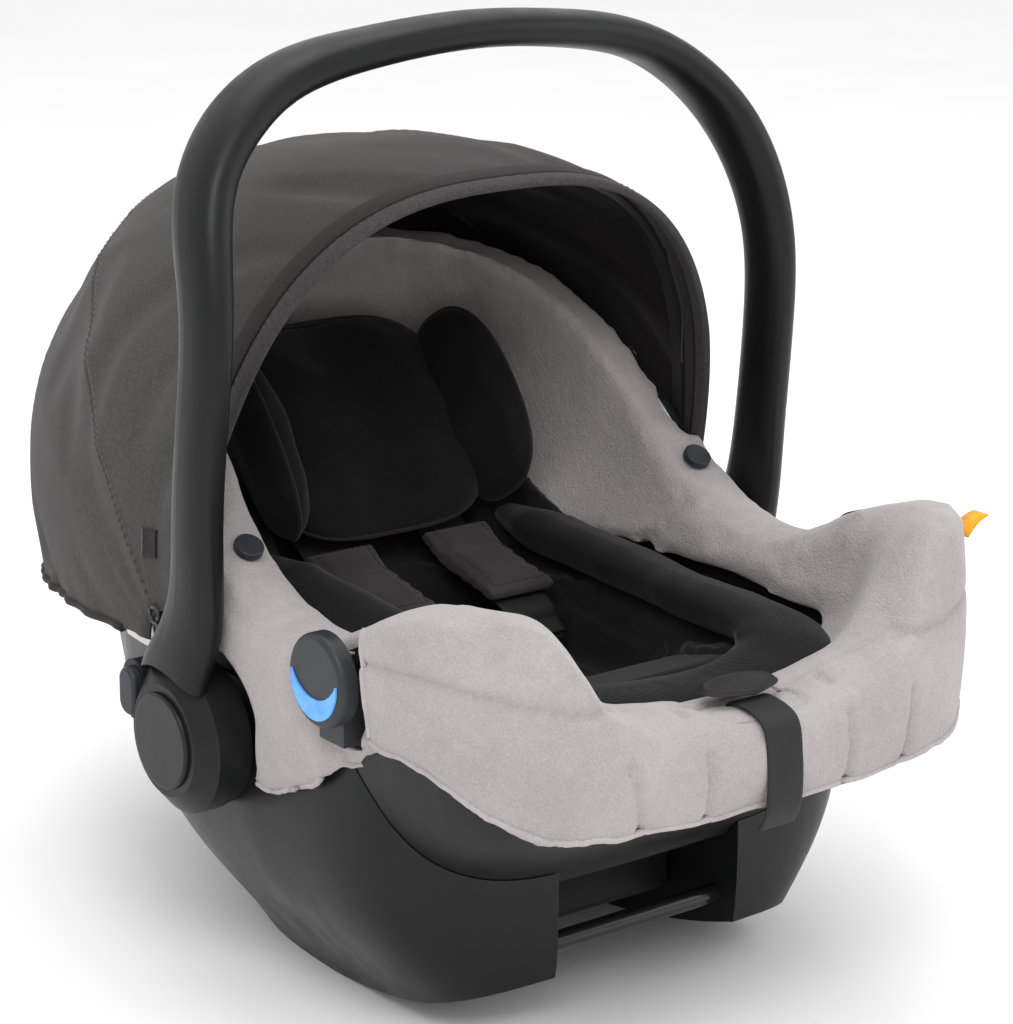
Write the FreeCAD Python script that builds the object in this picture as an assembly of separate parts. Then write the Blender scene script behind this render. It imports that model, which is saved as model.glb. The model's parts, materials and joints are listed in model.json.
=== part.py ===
import FreeCAD, Part
import math
import os

# Infant car seat, millimetres. +Z is up, -Y is the foot end, +Y is the head end and X is across.
# Everything is drawn with y = 0 at the handle pivot, then moved so that the origin is under the
# middle of the seat, on the surface that it stands on.
# Blocks are given as x from, x to, y from, y to, z from, z to.
ORIGIN_SHIFT_Y = -28.0

# Fits, clearances and walls
RUNNING_FIT = 0.05
SLIP = 0.5
HAIR = 0.2
WALL = 3.0
FAR = 400.0

# Plan outlines of the shells, one row for each level: height, front y, back y, half width.
OUTER_SHELL = [
    (88, -172, 190, 128),
    (118, -208, 222, 155),
    (150, -250, 250, 173),
    (205, -276, 298, 183),
    (260, -277, 299, 185),
    (320, -277, 273, 181),
    (360, -277, 248, 170),
    (410, -277, 205, 148),
]
SEAT_BUCKET = [
    (112, -60, 45, 80),
    (150, -150, 92, 118),
    (185, -225, 130, 145),
    (225, -262, 165, 163),
    (270, -268, 200, 172),
    (330, -269, 230, 168),
    (370, -269, 222, 158),
    (410, -269, 190, 138),
]
BASE = [
    (-10, -172, 128, 122),
    (25, -177, 152, 143),
    (60, -180, 178, 168),
    (95, -180, 204, 184),
    (140, -180, 240, 187),
    (210, -180, 285, 187.5),
]
SKIRT = [
    (120, -280, 240, 190),
    (150, -286, 262, 191),
    (200, -290, 296, 194.5),
    (260, -284, 306, 194.5),
    (320, -280, 283, 190),
    (360, -279, 258, 178),
    (420, -278, 205, 150),
]
# The cover's two ears at the foot end, which stand wider than the rest of the cover
EARS = [
    (120, -280, 240, 190),
    (150, -289, 262, 193),
    (200, -291, 296, 200),
    (255, -283, 306, 206),
    (330, -279, 283, 204),
]
EAR_BACK_Y = -172.0
WIDEST_Y = -40.0
FRONT_POWER = 5.0
BACK_POWER = 2.6
PLAN_POINTS = 28

# Side view of the shell's rim, from the foot end to the head end: y, z
RIM = [(-340, 270), (-262, 272), (-212, 276), (-168, 260), (-122, 238), (-85, 232), (-45, 242), (-5, 266),
       (32, 300), (70, 336), (110, 364), (160, 384), (220, 392), (340, 394)]
# Front view of the dip in the foot end's rim: x, z
FRONT_DIP = [(-190, 300), (-152, 262), (-112, 219), (-60, 206), (0, 205), (60, 206), (112, 219), (152, 262),
             (190, 300)]
DIP_BACK_Y = -190.0
OVERHEAD_Z = 600.0

# Foam between the two shells, behind the head and shoulders
FOAM_BLOCK = (-300, 300, -20, 400, 205, 500)
FOAM_STRAP_ROOM = (-90, 90, 100, 260, 200, 276)
FOAM_BELOW_RIM = 4.0

# Rocker base: its runners are arcs with a short flat, on both sides of a channel
ROCKER_RADIUS = 550.0
ROCKER_FLAT = 48.0
ROCKER_Y = 12.0
ROCKER_REACH = 260.0
CHANNEL_HALF = 68.0
BASE_TOP = [(-400, 150), (-180, 152), (-120, 190), (-60, 196), (60, 196), (140, 192), (400, 150)]

# Anchor bars across the channel: name, y, z
ANCHOR_BARS = [("front_anchor_bar", -160.0, 45.0), ("rear_anchor_bar", 128.0, 42.0)]
ANCHOR_RADIUS = 6.0
SPIGOT_RADIUS = 4.5
SPIGOT_LENGTH = 10.0

# Keel tray between the runners, its screws, and the windows for the arms of the latch bar
KEEL_HALF = 66.0
KEEL_FRONT_Y = -122.0
KEEL_BACK_Y = 92.0
KEEL_Z = 36.0
KEEL_TOP_Z = 86.0
KEEL_ROUND = 6.0
KEEL_SCREWS = [(x, y) for x in (-50.0, 50.0) for y in (-104.0, 74.0)]
SCREW_RADIUS = 2.0
SCREW_HEAD_RADIUS = 4.5
SCREW_HEAD = 2.5
SCREW_LENGTH = 12.0
WINDOW_YS = (-86.0, 46.0)
WINDOW_LENGTH = 22.0
WINDOW_Z = (50.0, 62.0)
LATCH_RAIL = (-8, 8, -100, 76, 51.5, 60.5)
LATCH_ARM_Y = (7.0, 17.0)
LATCH_ARM_PROUD = 1.0

# Release lever behind the head end, and the posts that guide its ears
LEVER_GRIP = (-36, 36, 250, 268, 117, 131)
LEVER_EARS = (-40.5, 40.5, 256, 262, 120, 128)
LEVER_ROUND = 4.0
GUIDE_RAIL = (37, 45, 215, 270, 108, 148)
GUIDE_GROOVE = (36, 41, 255.6, 262.4, 114, 144)

# Handle pivot, hubs and lock
PIVOT_Z = 159.0
PIN_RADIUS = 8.0
PIN_HEAD_RADIUS = 13.0
PIN_X = (-212.0, -168.0, -164.0)
HUB_INNER_X = 196.6
HUB_OUTER_X = 222.0
HUB_DRUM = 15.0
HUB_RADIUS = 46.0
HUB_FACE_RADIUS = 34.0
CAP_RADIUS = 29.0
CAP_PROUD = 3.0
CAP_SEAT = 1.5
CAP_ROUND = 2.0
GEAR_X = (-206.0, -199.5)
GEAR_RADIUS = 23.0
GEAR_TIP_RADIUS = 27.5
GEAR_ROOM_RADIUS = 30.0
GEAR_TEETH = 12
TOOTH_HALF = 2.6
MOUNT_X = (-196.0, -188.2)
MOUNT_RADIUS = 44.0
MOUNT_FLOOR = 1.2
SPRING_X = (-193.4, -189.8)
SPRING_RADIUS = 18.0
SPRING_BORE = 13.0
SPRING_WIRE = 0.5
SPRING_GAPS = (-192.4, -191.2)
# Lug behind each hub that carries the handle's release button
LUG_Y = 46.0
LUG_Z = 176.0
LUG_RADIUS = 13.0
LUG_STRAIGHT = 12.0
LUG_OUTER_X = -214.0
BUTTON_RADIUS = 9.0
BUTTON_X = (-220.0, -204.0)
BUTTON_ROOM_X = (-230.0, -198.5)
BUTTON_ROUND = 3.0

# Handle centre line from hub to crown: x, y, z, then its thickness and its depth
HANDLE_X = 211.0
HANDLE_TOP_Z = 557.0
HANDLE_PATH = [
    (HANDLE_X - 1, -2, 172, 23, 62),
    (HANDLE_X + 1, -15, 225, 23, 50),
    (HANDLE_X + 1, -27, 290, 23, 39),
    (HANDLE_X, -34, 360, 23, 38),
    (207, -34, 425, 24, 40),
    (193, -14, 485, 26, 44),
    (168, -3, 516, 26, 46),
    (135, 3, 537, 25, 46),
    (70, 2, HANDLE_TOP_Z - 5, 23, 43),
]
HANDLE_CROWN = (0, 0, HANDLE_TOP_Z, 22, 42)
HANDLE_POWER = 2.4
HANDLE_POINTS = 16

# Canopy: its height above its pivots at angles from upright, round from the front bow to the hem
CANOPY_Y = 40.0
CANOPY_Z = 200.0
CANOPY_HALF = 193.5
CANOPY_FRONT = -12.0
CANOPY_MID = 40.0
CANOPY_REAR = 93.0
CANOPY_RADII = [(CANOPY_FRONT, 278), (6, 287), (22, 300), (CANOPY_MID, 314), (58, 322), (76, 320),
                (CANOPY_REAR, 272)]
CANOPY_POWER = 2.7
CANOPY_LOW = 22.0
FABRIC = 1.6
PANEL_GAP = 0.4
BINDING_PROUD = 1.2
BINDING_LENGTH = 4.6
BOW_THICK = 3.5
BOW_DEPTH = 9.0
BOW_LOW = 8.0
BOW_EYE = 11.0
BOW_INSET = 1.5
BOW_STEP = 4.3
FRONT_BOW_BACK = 2.0
CANOPY_PIN = 4.0
CANOPY_PIN_X = (-191.7, -183.0)
CANOPY_BOSS = 15.0
CANOPY_BOSS_X = (-183.2, -170.0)

# Soft layers inside the bucket
LINING = 14.0
INSERT = 19.0
INSERT_HALF = 122.0
INSERT_FRONT_Y = -190.0
INSERT_TOP = [(-400, 214), (-120, 214), (-40, 220), (40, 226), (95, 250), (135, 262), (400, 262)]
# The cover's lower edge in side view, which ends at the handle's hubs: y, z
COVER_RISE = 8.0
COVER_SWELL = 1.5
COVER_HEM = [(-400, 156), (-270, 160), (-215, 192), (-168, 200), (-110, 150), (-75, 136), (-40, 130), (6, 150),
             (8, 600), (400, 600)]
COVER_UNDER = [(0, 0), (0, 205), (40, 285), (110, 345), (220, 375), (400, 375), (400, 0)]
COVER_HUB_RADIUS = 52.0
# Room in the cover's edge for the front bow's swing, and beside the belt guides' posts
COVER_BOW_ROOM = (-FAR, -178.8, 12, 70, 272, 334)
COVER_POST_ROOM = (-184, -177, -142, -120, 166, 188)

# Head pillow, drawn upright about its middle and then leaned back
PILLOW_Y = 126.5
PILLOW_Z = 288.2
PILLOW_LEAN = 40.0
PILLOW_SLAB = (-88, 88, -15, 15, -75, 75)
PILLOW_WING = (70, 102, -50, 13, -60, 45)
PILLOW_ROUND = 12.0

# Harness: straps follow side view paths (y, z)
STRAP_HALF = 19.0
STRAP_X = 45.0
STRAP_THICK = 2.0
SLOT_Z = 266.0
SLOT_MARGIN = 1.5
CROTCH_Y = -68.0
SHOULDER_PATH = [(-16, 174.5), (-7, 181), (4, 191.8), (60, 204), (112, 232), (146, SLOT_Z), (208, SLOT_Z),
                 (214, 256), (180, 204)]
PAD_PATH = [(4, 193), (60, 204), (84, 217)]
PAD_THICK = 9.0
PAD_MARGIN = 6.0
PAD_LIFT = 0.3
CROTCH_PATH = [(CROTCH_Y + 2, 108), (CROTCH_Y + 2, 156), (CROTCH_Y + 8, 165)]
SPLITTER = (-66, 66, 182, 185, 176, 204)
SPLITTER_ROUND = 1.2
BUCKLE = (-27, 27, -70, -18, 160, 180)
BUCKLE_ROUND = 5.0
BUCKLE_BUTTON = (-11, 11, -66, -46, 171.5, 182)
BUCKLE_BUTTON_ROOM = (-11.4, 11.4, -66.4, -45.6, 167, 184)
BUCKLE_TONGUE_ROOM = (-24, 24, -42, -16, 168.5, 173.5)
BUCKLE_STRAP_ROOM = (-20, 20, -71, -57, 159, 168)
TONGUE_BLADE = (-22, -5, -40, -4, 169.5, 172.5)
TONGUE_BAR = (-64, -5, -12, -4, 169.5, 172.5)
SMALL_ROUND = 1.5

# Harness adjuster in the foot end
ADJUSTER_PATH = [(176, 180), (142, 140), (70, 102), (-80, 102), (-165, 134), (-232, 170), (-250, 190),
                 (-256, 208), (-266, 215), (-292, 209), (-296, 186), (-296, 160), (-290, 146)]
ADJUSTER_STRAP_HALF = 13.0
ADJUSTER_STRAP_THICK = 1.8
ADJUSTER_STRAP_ROOM = 1.2
ADJUSTER_HOUSING = (-22, 22, -268, -234, 187, 207)
ADJUSTER_BUTTON = (-9, 9, -248, -236, 201.5, 210)
ADJUSTER_BUTTON_ROOM = (-9.4, 9.4, -248.4, -235.6, 197, 230)
BUCKET_WINDOW = (-26, 26, -271, -200, 185, 400)
COVER_WINDOW = (-27, 27, -272, -222, 181, 400)
FLAP_Y = -254.0
FLAP_Z = 218.0
FLAP_THICK = 2.2
FLAP_RADIUS = 12.0
FLAP_STRAIGHT = 22.0

# Lap belt guides on the sides, each a disc on a post, and the gap in the cover's skirt around it
GUIDE_Y = -140.0
GUIDE_Z = 232.0
GUIDE_RADIUS = 27.0
GUIDE_X = (-208.0, -197.0)
GUIDE_ROUND = 4.0
POST_HALF = 12.0
POST_INNER_X = -175.0
POST_FOOT_Z = 194.0
POST_MARGIN = 2.0
SLIT_MARGIN = 4.0
SKIRT_CUT_X = 186.0
SKIRT_MARGIN = 3.0
MARKER_RADIUS = 22.0
MARKER_CUT_RADIUS = 25.0
MARKER_CUT_RISE = 15.0
MARKER_THICK = 1.2
# Shoulder belt guide behind the head end
REAR_GUIDE = (-42, 42, 240, 304, 152, 184)
REAR_GUIDE_GAP = (-32, 32, 230, 296, 150, 190)

# Round fasteners on the rim beside the canopy's ends
RIM_BUTTON = (-170.0, -14.0, 270.0)
RIM_BUTTON_RADIUS = 9.0
RIM_BUTTON_THICK = 4.5
RIM_BUTTON_TILT = 33.0
RIM_BUTTON_ROUND = 1.2

PARTS = []
BOWLS = {}


def vec(x, y, z):
    return FreeCAD.Vector(x, y, z)


def box(x0, x1, y0, y1, z0, z1):
    return Part.makeBox(x1 - x0, y1 - y0, z1 - z0, vec(x0, y0, z0))


def rounded_box(block, radius):
    shape = box(*block)
    return shape.makeFillet(radius, shape.Edges)


def cylinder_x(x0, x1, y, z, radius):
    return Part.makeCylinder(radius, x1 - x0, vec(x0, y, z), vec(1, 0, 0))


def at_pivot(x0, x1, radius):
    return cylinder_x(x0, x1, 0, PIVOT_Z, radius)


def mirrored(shape):
    return shape.mirror(vec(0, 0, 0), vec(1, 0, 0))


def both_sides(shape):
    return [shape, mirrored(shape)]


def largest(shape):
    return max(shape.Solids, key=lambda solid: solid.Volume)


def round_outer_edge(shape, x, radius):
    # Rounds the edges of the face at the given x.
    edges = [e for e in shape.Edges if abs(e.CenterOfMass.x - x) < 0.1]
    return shape.makeFillet(radius, edges)


def save(name, shape):
    shape = shape.copy()
    shape.translate(vec(0, ORIGIN_SHIFT_Y, 0))
    if shape.ShapeType == "Compound" and len(shape.Solids) == 1:
        shape = shape.Solids[0]
    shape.exportStep("parts/" + name + ".step")
    PARTS.append((name, len(shape.Solids), shape.Volume, shape.isValid()))


def save_pair(name, left_shape):
    save(name + "_left", left_shape)
    save(name + "_right", mirrored(left_shape))


def closed_spline(points):
    curve = Part.BSplineCurve()
    curve.interpolate(Points=points, PeriodicFlag=True)
    return Part.Wire([curve.toShape()])


def open_spline(points):
    curve = Part.BSplineCurve()
    curve.interpolate(Points=points)
    return curve.toShape()


def signed_power(value, power):
    return math.copysign(abs(value) ** power, value)


def plan_section(z, front, back, half, offset):
    # A closed outline at one height: boxy towards the foot end, rounder towards the head end.
    points = []
    for i in range(PLAN_POINTS):
        angle = 2 * math.pi * (i + 0.5) / PLAN_POINTS
        across, along = math.cos(angle), math.sin(angle)
        power = BACK_POWER if along > 0 else FRONT_POWER
        reach = (back + offset - WIDEST_Y) if along > 0 else (WIDEST_Y - front + offset)
        points.append(vec((half + offset) * signed_power(across, 2 / power),
                          WIDEST_Y + reach * signed_power(along, 2 / power), z))
    return closed_spline(points)


def bowl(levels, offset=0.0):
    # The solid inside a stack of plan outlines, grown or shrunk by offset. The bottom moves too.
    key = (levels[0], levels[1], offset)
    if key not in BOWLS:
        floor_z, settle_z = levels[0][0], levels[3][0]
        sections = []
        for z, front, back, half in levels:
            share = max(0.0, (settle_z - z) / (settle_z - floor_z))
            sections.append(plan_section(z - offset * share, front, back, half, offset))
        BOWLS[key] = Part.makeLoft(sections, True, False)
    return BOWLS[key]


def prism_x(points, x0, x1, smooth=False, lid_z=None):
    # A side view outline (y, z) pushed through from x0 to x1. With lid_z, the outline is a line or a
    # curve that is closed by a straight lid at that height.
    spots = [vec(x0, y, z) for y, z in points]
    if lid_z is None:
        wire = Part.makePolygon(spots + [spots[0]])
    else:
        first, last = spots[0], spots[-1]
        curve = open_spline(spots) if smooth else Part.makePolygon(spots)
        lid = Part.makePolygon([last, vec(x0, last.y, lid_z), vec(x0, first.y, lid_z), first])
        wire = Part.Wire(curve.Edges + lid.Edges)
    return Part.Face(wire).extrude(vec(x1 - x0, 0, 0))


def prism_y(points, y0, y1, lid_z):
    # A front view curve (x, z), closed by a straight lid at lid_z and pushed through from y0 to y1.
    spots = [vec(x, y0, z) for x, z in points]
    curve = open_spline(spots)
    lid = Part.makePolygon([spots[-1], vec(spots[-1].x, y0, lid_z), vec(spots[0].x, y0, lid_z), spots[0]])
    return Part.Face(Part.Wire(curve.Edges + lid.Edges)).extrude(vec(0, y1 - y0, 0))


def stadium_x(x0, x1, y, z, radius, straight):
    # A pill shape seen from the side, standing upright.
    half = straight / 2
    ends = [cylinder_x(x0, x1, y, z + s * half, radius) for s in (-1, 1)]
    return box(x0, x1, y - radius, y + radius, z - half, z + half).fuse(ends).removeSplitter()


def band(path, x0, x1, thickness, lift=0.0):
    # A flat strap that follows a side view path (y, z). It lies between lift and lift + thickness
    # above the path, on the left hand side of its direction.
    def shifted(distance):
        out = []
        for i, (y, z) in enumerate(path):
            before, after = path[max(i - 1, 0)], path[min(i + 1, len(path) - 1)]
            normals = []
            for a, b in ((before, path[i]), (path[i], after)):
                length = math.hypot(b[0] - a[0], b[1] - a[1])
                if length > 0:
                    normals.append((-(b[1] - a[1]) / length, (b[0] - a[0]) / length))
            ny, nz = sum(n[0] for n in normals), sum(n[1] for n in normals)
            scale = distance * len(normals) / (ny * ny + nz * nz)
            out.append((y + ny * scale, z + nz * scale))
        return out
    outline = shifted(lift + thickness) + shifted(lift)[::-1]
    return prism_x(outline, x0, x1)


def above_rim(rise=0.0):
    # Everything higher than the rim of the seat, which is lower across the foot end.
    side = prism_x([(y, z + rise) for y, z in RIM], -FAR, FAR, smooth=True, lid_z=OVERHEAD_Z)
    dip = prism_y([(x, z + rise) for x, z in FRONT_DIP], -FAR, DIP_BACK_Y, OVERHEAD_Z)
    return [side, dip]


def below_rocker(rise=0.0):
    # Everything lower than the curved runners, which have a short flat in the middle to stand on.
    drop = ROCKER_RADIUS - math.sqrt(ROCKER_RADIUS ** 2 - ROCKER_FLAT ** 2)
    centre_z = ROCKER_RADIUS - drop + rise
    middle = (ROCKER_REACH + ROCKER_FLAT) / 2
    under_z = -FAR / 2

    def on_arc(distance):
        return vec(-FAR, ROCKER_Y + distance, centre_z - math.sqrt(ROCKER_RADIUS ** 2 - distance ** 2))

    def on_flat(distance):
        return vec(-FAR, ROCKER_Y + distance, rise)
    front = Part.Arc(on_arc(-ROCKER_REACH), on_arc(-middle), on_flat(-ROCKER_FLAT)).toShape()
    back = Part.Arc(on_flat(ROCKER_FLAT), on_arc(middle), on_arc(ROCKER_REACH)).toShape()
    flat = Part.makePolygon([on_flat(-ROCKER_FLAT), on_flat(ROCKER_FLAT)])
    lid = Part.makePolygon([on_arc(ROCKER_REACH), vec(-FAR, ROCKER_Y + ROCKER_REACH, under_z),
                            vec(-FAR, ROCKER_Y - ROCKER_REACH, under_z), on_arc(-ROCKER_REACH)])
    wire = Part.Wire(front.Edges + flat.Edges + back.Edges + lid.Edges)
    return Part.Face(wire).extrude(vec(2 * FAR, 0, 0))


def guide_room():
    # The skirt stops short of the belt guide's disc, is slit for its post, and has room at its foot.
    reach = GUIDE_RADIUS + SKIRT_MARGIN
    slit_half, post_half = POST_HALF + SLIT_MARGIN, POST_HALF + POST_MARGIN
    around = box(-FAR, -SKIRT_CUT_X, GUIDE_Y - reach, GUIDE_Y + reach, GUIDE_Z - reach, FAR)
    slit = box(-FAR, -SKIRT_CUT_X, GUIDE_Y - slit_half, GUIDE_Y + slit_half, 0, GUIDE_Z + reach)
    post = box(-FAR, POST_INNER_X + SLIT_MARGIN, GUIDE_Y - post_half, GUIDE_Y + post_half,
               POST_FOOT_Z - SLIT_MARGIN, GUIDE_Z + 1).cut(bowl(OUTER_SHELL, -WALL))
    return both_sides(around) + both_sides(slit) + both_sides(post)


def harness_slots(margin):
    # The shoulder straps go straight back through the seat, and the crotch strap straight down.
    shoulder = box(STRAP_X - STRAP_HALF - margin, STRAP_X + STRAP_HALF + margin, 120, 300,
                   SLOT_Z - margin, SLOT_Z + STRAP_THICK + margin)
    crotch = box(-STRAP_HALF - margin, STRAP_HALF + margin, CROTCH_Y - margin,
                 CROTCH_Y + STRAP_THICK + margin, 90, 260)
    return both_sides(shoulder) + [crotch]


def adjuster_gap():
    # Room all round the strap that tightens the harness.
    half, room = ADJUSTER_STRAP_HALF + ADJUSTER_STRAP_ROOM, ADJUSTER_STRAP_ROOM
    return band(ADJUSTER_PATH, -half, half, ADJUSTER_STRAP_THICK + 2 * room, -room)


def make_shells():
    rim = above_rim()
    pins = [at_pivot(-FAR, FAR, PIN_RADIUS + RUNNING_FIT)]
    save("outer_shell", bowl(OUTER_SHELL).cut(bowl(OUTER_SHELL, -WALL)).cut(rim + pins))
    window = [box(*BUCKET_WINDOW)]
    bucket = bowl(SEAT_BUCKET).cut(bowl(SEAT_BUCKET, -WALL))
    save("seat_bucket", bucket.cut(rim + harness_slots(SLOT_MARGIN) + window))


def make_foam():
    block = bowl(OUTER_SHELL, -WALL - SLIP).cut([bowl(SEAT_BUCKET, SLIP)] + above_rim(-FOAM_BELOW_RIM))
    save("impact_foam", block.common(box(*FOAM_BLOCK).cut(box(*FOAM_STRAP_ROOM))))


def make_base():
    channel = box(-CHANNEL_HALF, CHANNEL_HALF, -FAR, FAR, -FAR, FAR)
    lined_channel = box(-CHANNEL_HALF - WALL, CHANNEL_HALF + WALL, -FAR, FAR, -FAR, FAR)
    solid = bowl(BASE).cut([below_rocker(), channel])
    hollow = bowl(BASE, -WALL).cut([below_rocker(WALL), lined_channel])
    top = prism_x(BASE_TOP, -FAR, FAR, lid_z=OVERHEAD_Z)
    bars = [cylinder_x(-CHANNEL_HALF - 2 * SPIGOT_LENGTH, CHANNEL_HALF + 2 * SPIGOT_LENGTH, y, z,
                       SPIGOT_RADIUS + RUNNING_FIT) for _, y, z in ANCHOR_BARS]
    pivots = [at_pivot(-FAR, FAR, PIN_RADIUS + 2 * SLIP)]
    pivots += both_sides(at_pivot(-FAR, MOUNT_X[1] + SLIP, MOUNT_RADIUS + SLIP))
    sides = solid.cut([hollow, bowl(OUTER_SHELL, SLIP), top] + bars + pivots)
    halves = sorted(sides.Solids, key=lambda s: -s.Volume)[:2]
    left = [s for s in halves if s.CenterOfMass.x < 0][0]
    save_pair("base_side", left)


def make_anchor_bars():
    reach = CHANNEL_HALF - HAIR
    for name, y, z in ANCHOR_BARS:
        bar = cylinder_x(-reach, reach, y, z, ANCHOR_RADIUS)
        spigots = cylinder_x(-reach - SPIGOT_LENGTH, reach + SPIGOT_LENGTH, y, z, SPIGOT_RADIUS)
        save(name, bar.fuse(spigots).removeSplitter())


def make_keel():
    outside = rounded_box((-KEEL_HALF, KEEL_HALF, KEEL_FRONT_Y, KEEL_BACK_Y, KEEL_Z, KEEL_TOP_Z), KEEL_ROUND)
    inside = box(-KEEL_HALF + WALL, KEEL_HALF - WALL, KEEL_FRONT_Y + WALL, KEEL_BACK_Y - WALL,
                 KEEL_Z + WALL, KEEL_TOP_Z + WALL)
    windows = [box(-KEEL_HALF - WALL, KEEL_HALF + WALL, y, y + WINDOW_LENGTH, *WINDOW_Z) for y in WINDOW_YS]
    holes, screws = [], []
    for x, y in KEEL_SCREWS:
        holes.append(Part.makeCylinder(SCREW_RADIUS, 2 * SCREW_LENGTH, vec(x, y, KEEL_Z - SCREW_LENGTH)))
        head = Part.makeCylinder(SCREW_HEAD_RADIUS, SCREW_HEAD, vec(x, y, KEEL_Z - SCREW_HEAD))
        shank = Part.makeCylinder(SCREW_RADIUS, SCREW_LENGTH, vec(x, y, KEEL_Z - 1))
        screws.append(head.fuse(shank).removeSplitter())
    save("keel_tray", outside.cut([inside, bowl(OUTER_SHELL, SLIP)] + windows + holes))
    save("keel_screws", Part.makeCompound(screws))


def make_latch():
    reach = KEEL_HALF + LATCH_ARM_PROUD
    low, high = LATCH_RAIL[4:]
    arms = [box(-reach, reach, y + LATCH_ARM_Y[0], y + LATCH_ARM_Y[1], low, high) for y in WINDOW_YS]
    save("latch_bar", box(*LATCH_RAIL).fuse(arms).removeSplitter())
    shell = bowl(OUTER_SHELL, HAIR)
    posts, grooves = both_sides(box(*GUIDE_RAIL)), both_sides(box(*GUIDE_GROOVE))
    guides = [post.cut([groove, shell]) for post, groove in zip(posts, grooves)]
    save("release_guide", Part.makeCompound(guides))
    save("release_lever", rounded_box(LEVER_GRIP, LEVER_ROUND).fuse(box(*LEVER_EARS)).removeSplitter())


def make_hubs():
    inner, outer = -HUB_INNER_X, -HUB_OUTER_X
    left = vec(-1, 0, 0)
    drum = Part.makeCylinder(HUB_RADIUS, HUB_DRUM, vec(inner, 0, PIVOT_Z), left)
    cone = Part.makeCone(HUB_RADIUS, HUB_FACE_RADIUS, HUB_OUTER_X - HUB_INNER_X - HUB_DRUM,
                         vec(inner - HUB_DRUM, 0, PIVOT_Z), left)
    lug = stadium_x(LUG_OUTER_X, inner, LUG_Y, LUG_Z, LUG_RADIUS, LUG_STRAIGHT)
    hub = drum.fuse([cone, lug]).removeSplitter()
    bore = at_pivot(PIN_X[0] - 1, inner + 1, PIN_RADIUS + RUNNING_FIT)
    gear_room = at_pivot(GEAR_X[0] - 2, inner + 1, GEAR_ROOM_RADIUS)
    button_room = stadium_x(*BUTTON_ROOM_X, LUG_Y, LUG_Z, BUTTON_RADIUS + 0.3, LUG_STRAIGHT)
    cap_seat = at_pivot(outer - 1, outer + CAP_SEAT, CAP_RADIUS + HAIR)
    save_pair("handle_hub", hub.cut([bore, gear_room, button_room, cap_seat]))
    cap = at_pivot(outer - CAP_PROUD, outer + CAP_SEAT, CAP_RADIUS)
    save_pair("hub_cap", round_outer_edge(cap, outer - CAP_PROUD, CAP_ROUND))
    button = stadium_x(*BUTTON_X, LUG_Y, LUG_Z, BUTTON_RADIUS, LUG_STRAIGHT)
    save_pair("handle_button", round_outer_edge(button, BUTTON_X[0], BUTTON_ROUND))


def make_pivots():
    end_x, head_x, inside_x = PIN_X
    pin = at_pivot(end_x, head_x, PIN_RADIUS).fuse(at_pivot(head_x, inside_x, PIN_HEAD_RADIUS))
    save_pair("pivot_pin", pin.removeSplitter())
    spring_room = at_pivot(MOUNT_X[0] - 1, MOUNT_X[1] - MOUNT_FLOOR, GEAR_ROOM_RADIUS - 1)
    bore = at_pivot(MOUNT_X[0] - 1, MOUNT_X[1] + 1, PIN_RADIUS + RUNNING_FIT)
    save_pair("hub_mount", at_pivot(*MOUNT_X, MOUNT_RADIUS).cut([spring_room, bore]))


def make_lock():
    gear = at_pivot(*GEAR_X, GEAR_RADIUS)
    teeth = []
    for i in range(GEAR_TEETH):
        tooth = box(*GEAR_X, -TOOTH_HALF, TOOTH_HALF, PIVOT_Z + GEAR_RADIUS - 2, PIVOT_Z + GEAR_TIP_RADIUS)
        tooth.rotate(vec(0, 0, PIVOT_Z), vec(1, 0, 0), i * 360 / GEAR_TEETH)
        teeth.append(tooth)
    gear = gear.fuse(teeth).removeSplitter().cut(at_pivot(-FAR, FAR, PIN_RADIUS + 0.3))
    save_pair("lock_gear", gear)
    spring = at_pivot(*SPRING_X, SPRING_RADIUS).cut(at_pivot(-FAR, FAR, SPRING_BORE))
    gaps = []
    for x in SPRING_GAPS:
        ring = at_pivot(x, x + SPRING_WIRE, 2 * SPRING_RADIUS)
        gaps.append(ring.cut(at_pivot(x, x + SPRING_WIRE, SPRING_RADIUS - 1)))
    save_pair("lock_spring", spring.cut(gaps))


def handle_section(before, spot, after):
    x, y, z, thick, deep = spot
    tangent = vec(*after[:3]).sub(vec(*before[:3]))
    tangent.normalize()
    along_y = vec(0, 1, 0)
    deep_axis = along_y.sub(tangent * along_y.dot(tangent))
    deep_axis.normalize()
    thick_axis = tangent.cross(deep_axis)
    points = []
    for i in range(HANDLE_POINTS):
        angle = 2 * math.pi * (i + 0.5) / HANDLE_POINTS
        across = signed_power(math.cos(angle), 2 / HANDLE_POWER) * thick / 2
        along = signed_power(math.sin(angle), 2 / HANDLE_POWER) * deep / 2
        points.append(vec(x, y, z).add(thick_axis * across).add(deep_axis * along))
    return closed_spline(points)


def make_handle():
    left = [(-x, y, z, thick, deep) for x, y, z, thick, deep in HANDLE_PATH]
    spots = left + [HANDLE_CROWN] + HANDLE_PATH[::-1]
    sections = []
    for i, spot in enumerate(spots):
        sections.append(handle_section(spots[max(i - 1, 0)], spot, spots[min(i + 1, len(spots) - 1)]))
    hub = at_pivot(-FAR, FAR, HUB_RADIUS)
    lugs = stadium_x(-FAR, FAR, LUG_Y, LUG_Z, LUG_RADIUS, LUG_STRAIGHT)
    save("handle_arch", largest(Part.makeLoft(sections, True, False).cut([hub, lugs])))


def canopy_radius(degrees):
    for (a, height_a), (b, height_b) in zip(CANOPY_RADII, CANOPY_RADII[1:]):
        if degrees <= b:
            return height_a + (height_b - height_a) * (degrees - a) / (b - a)
    return CANOPY_RADII[-1][1]


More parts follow.
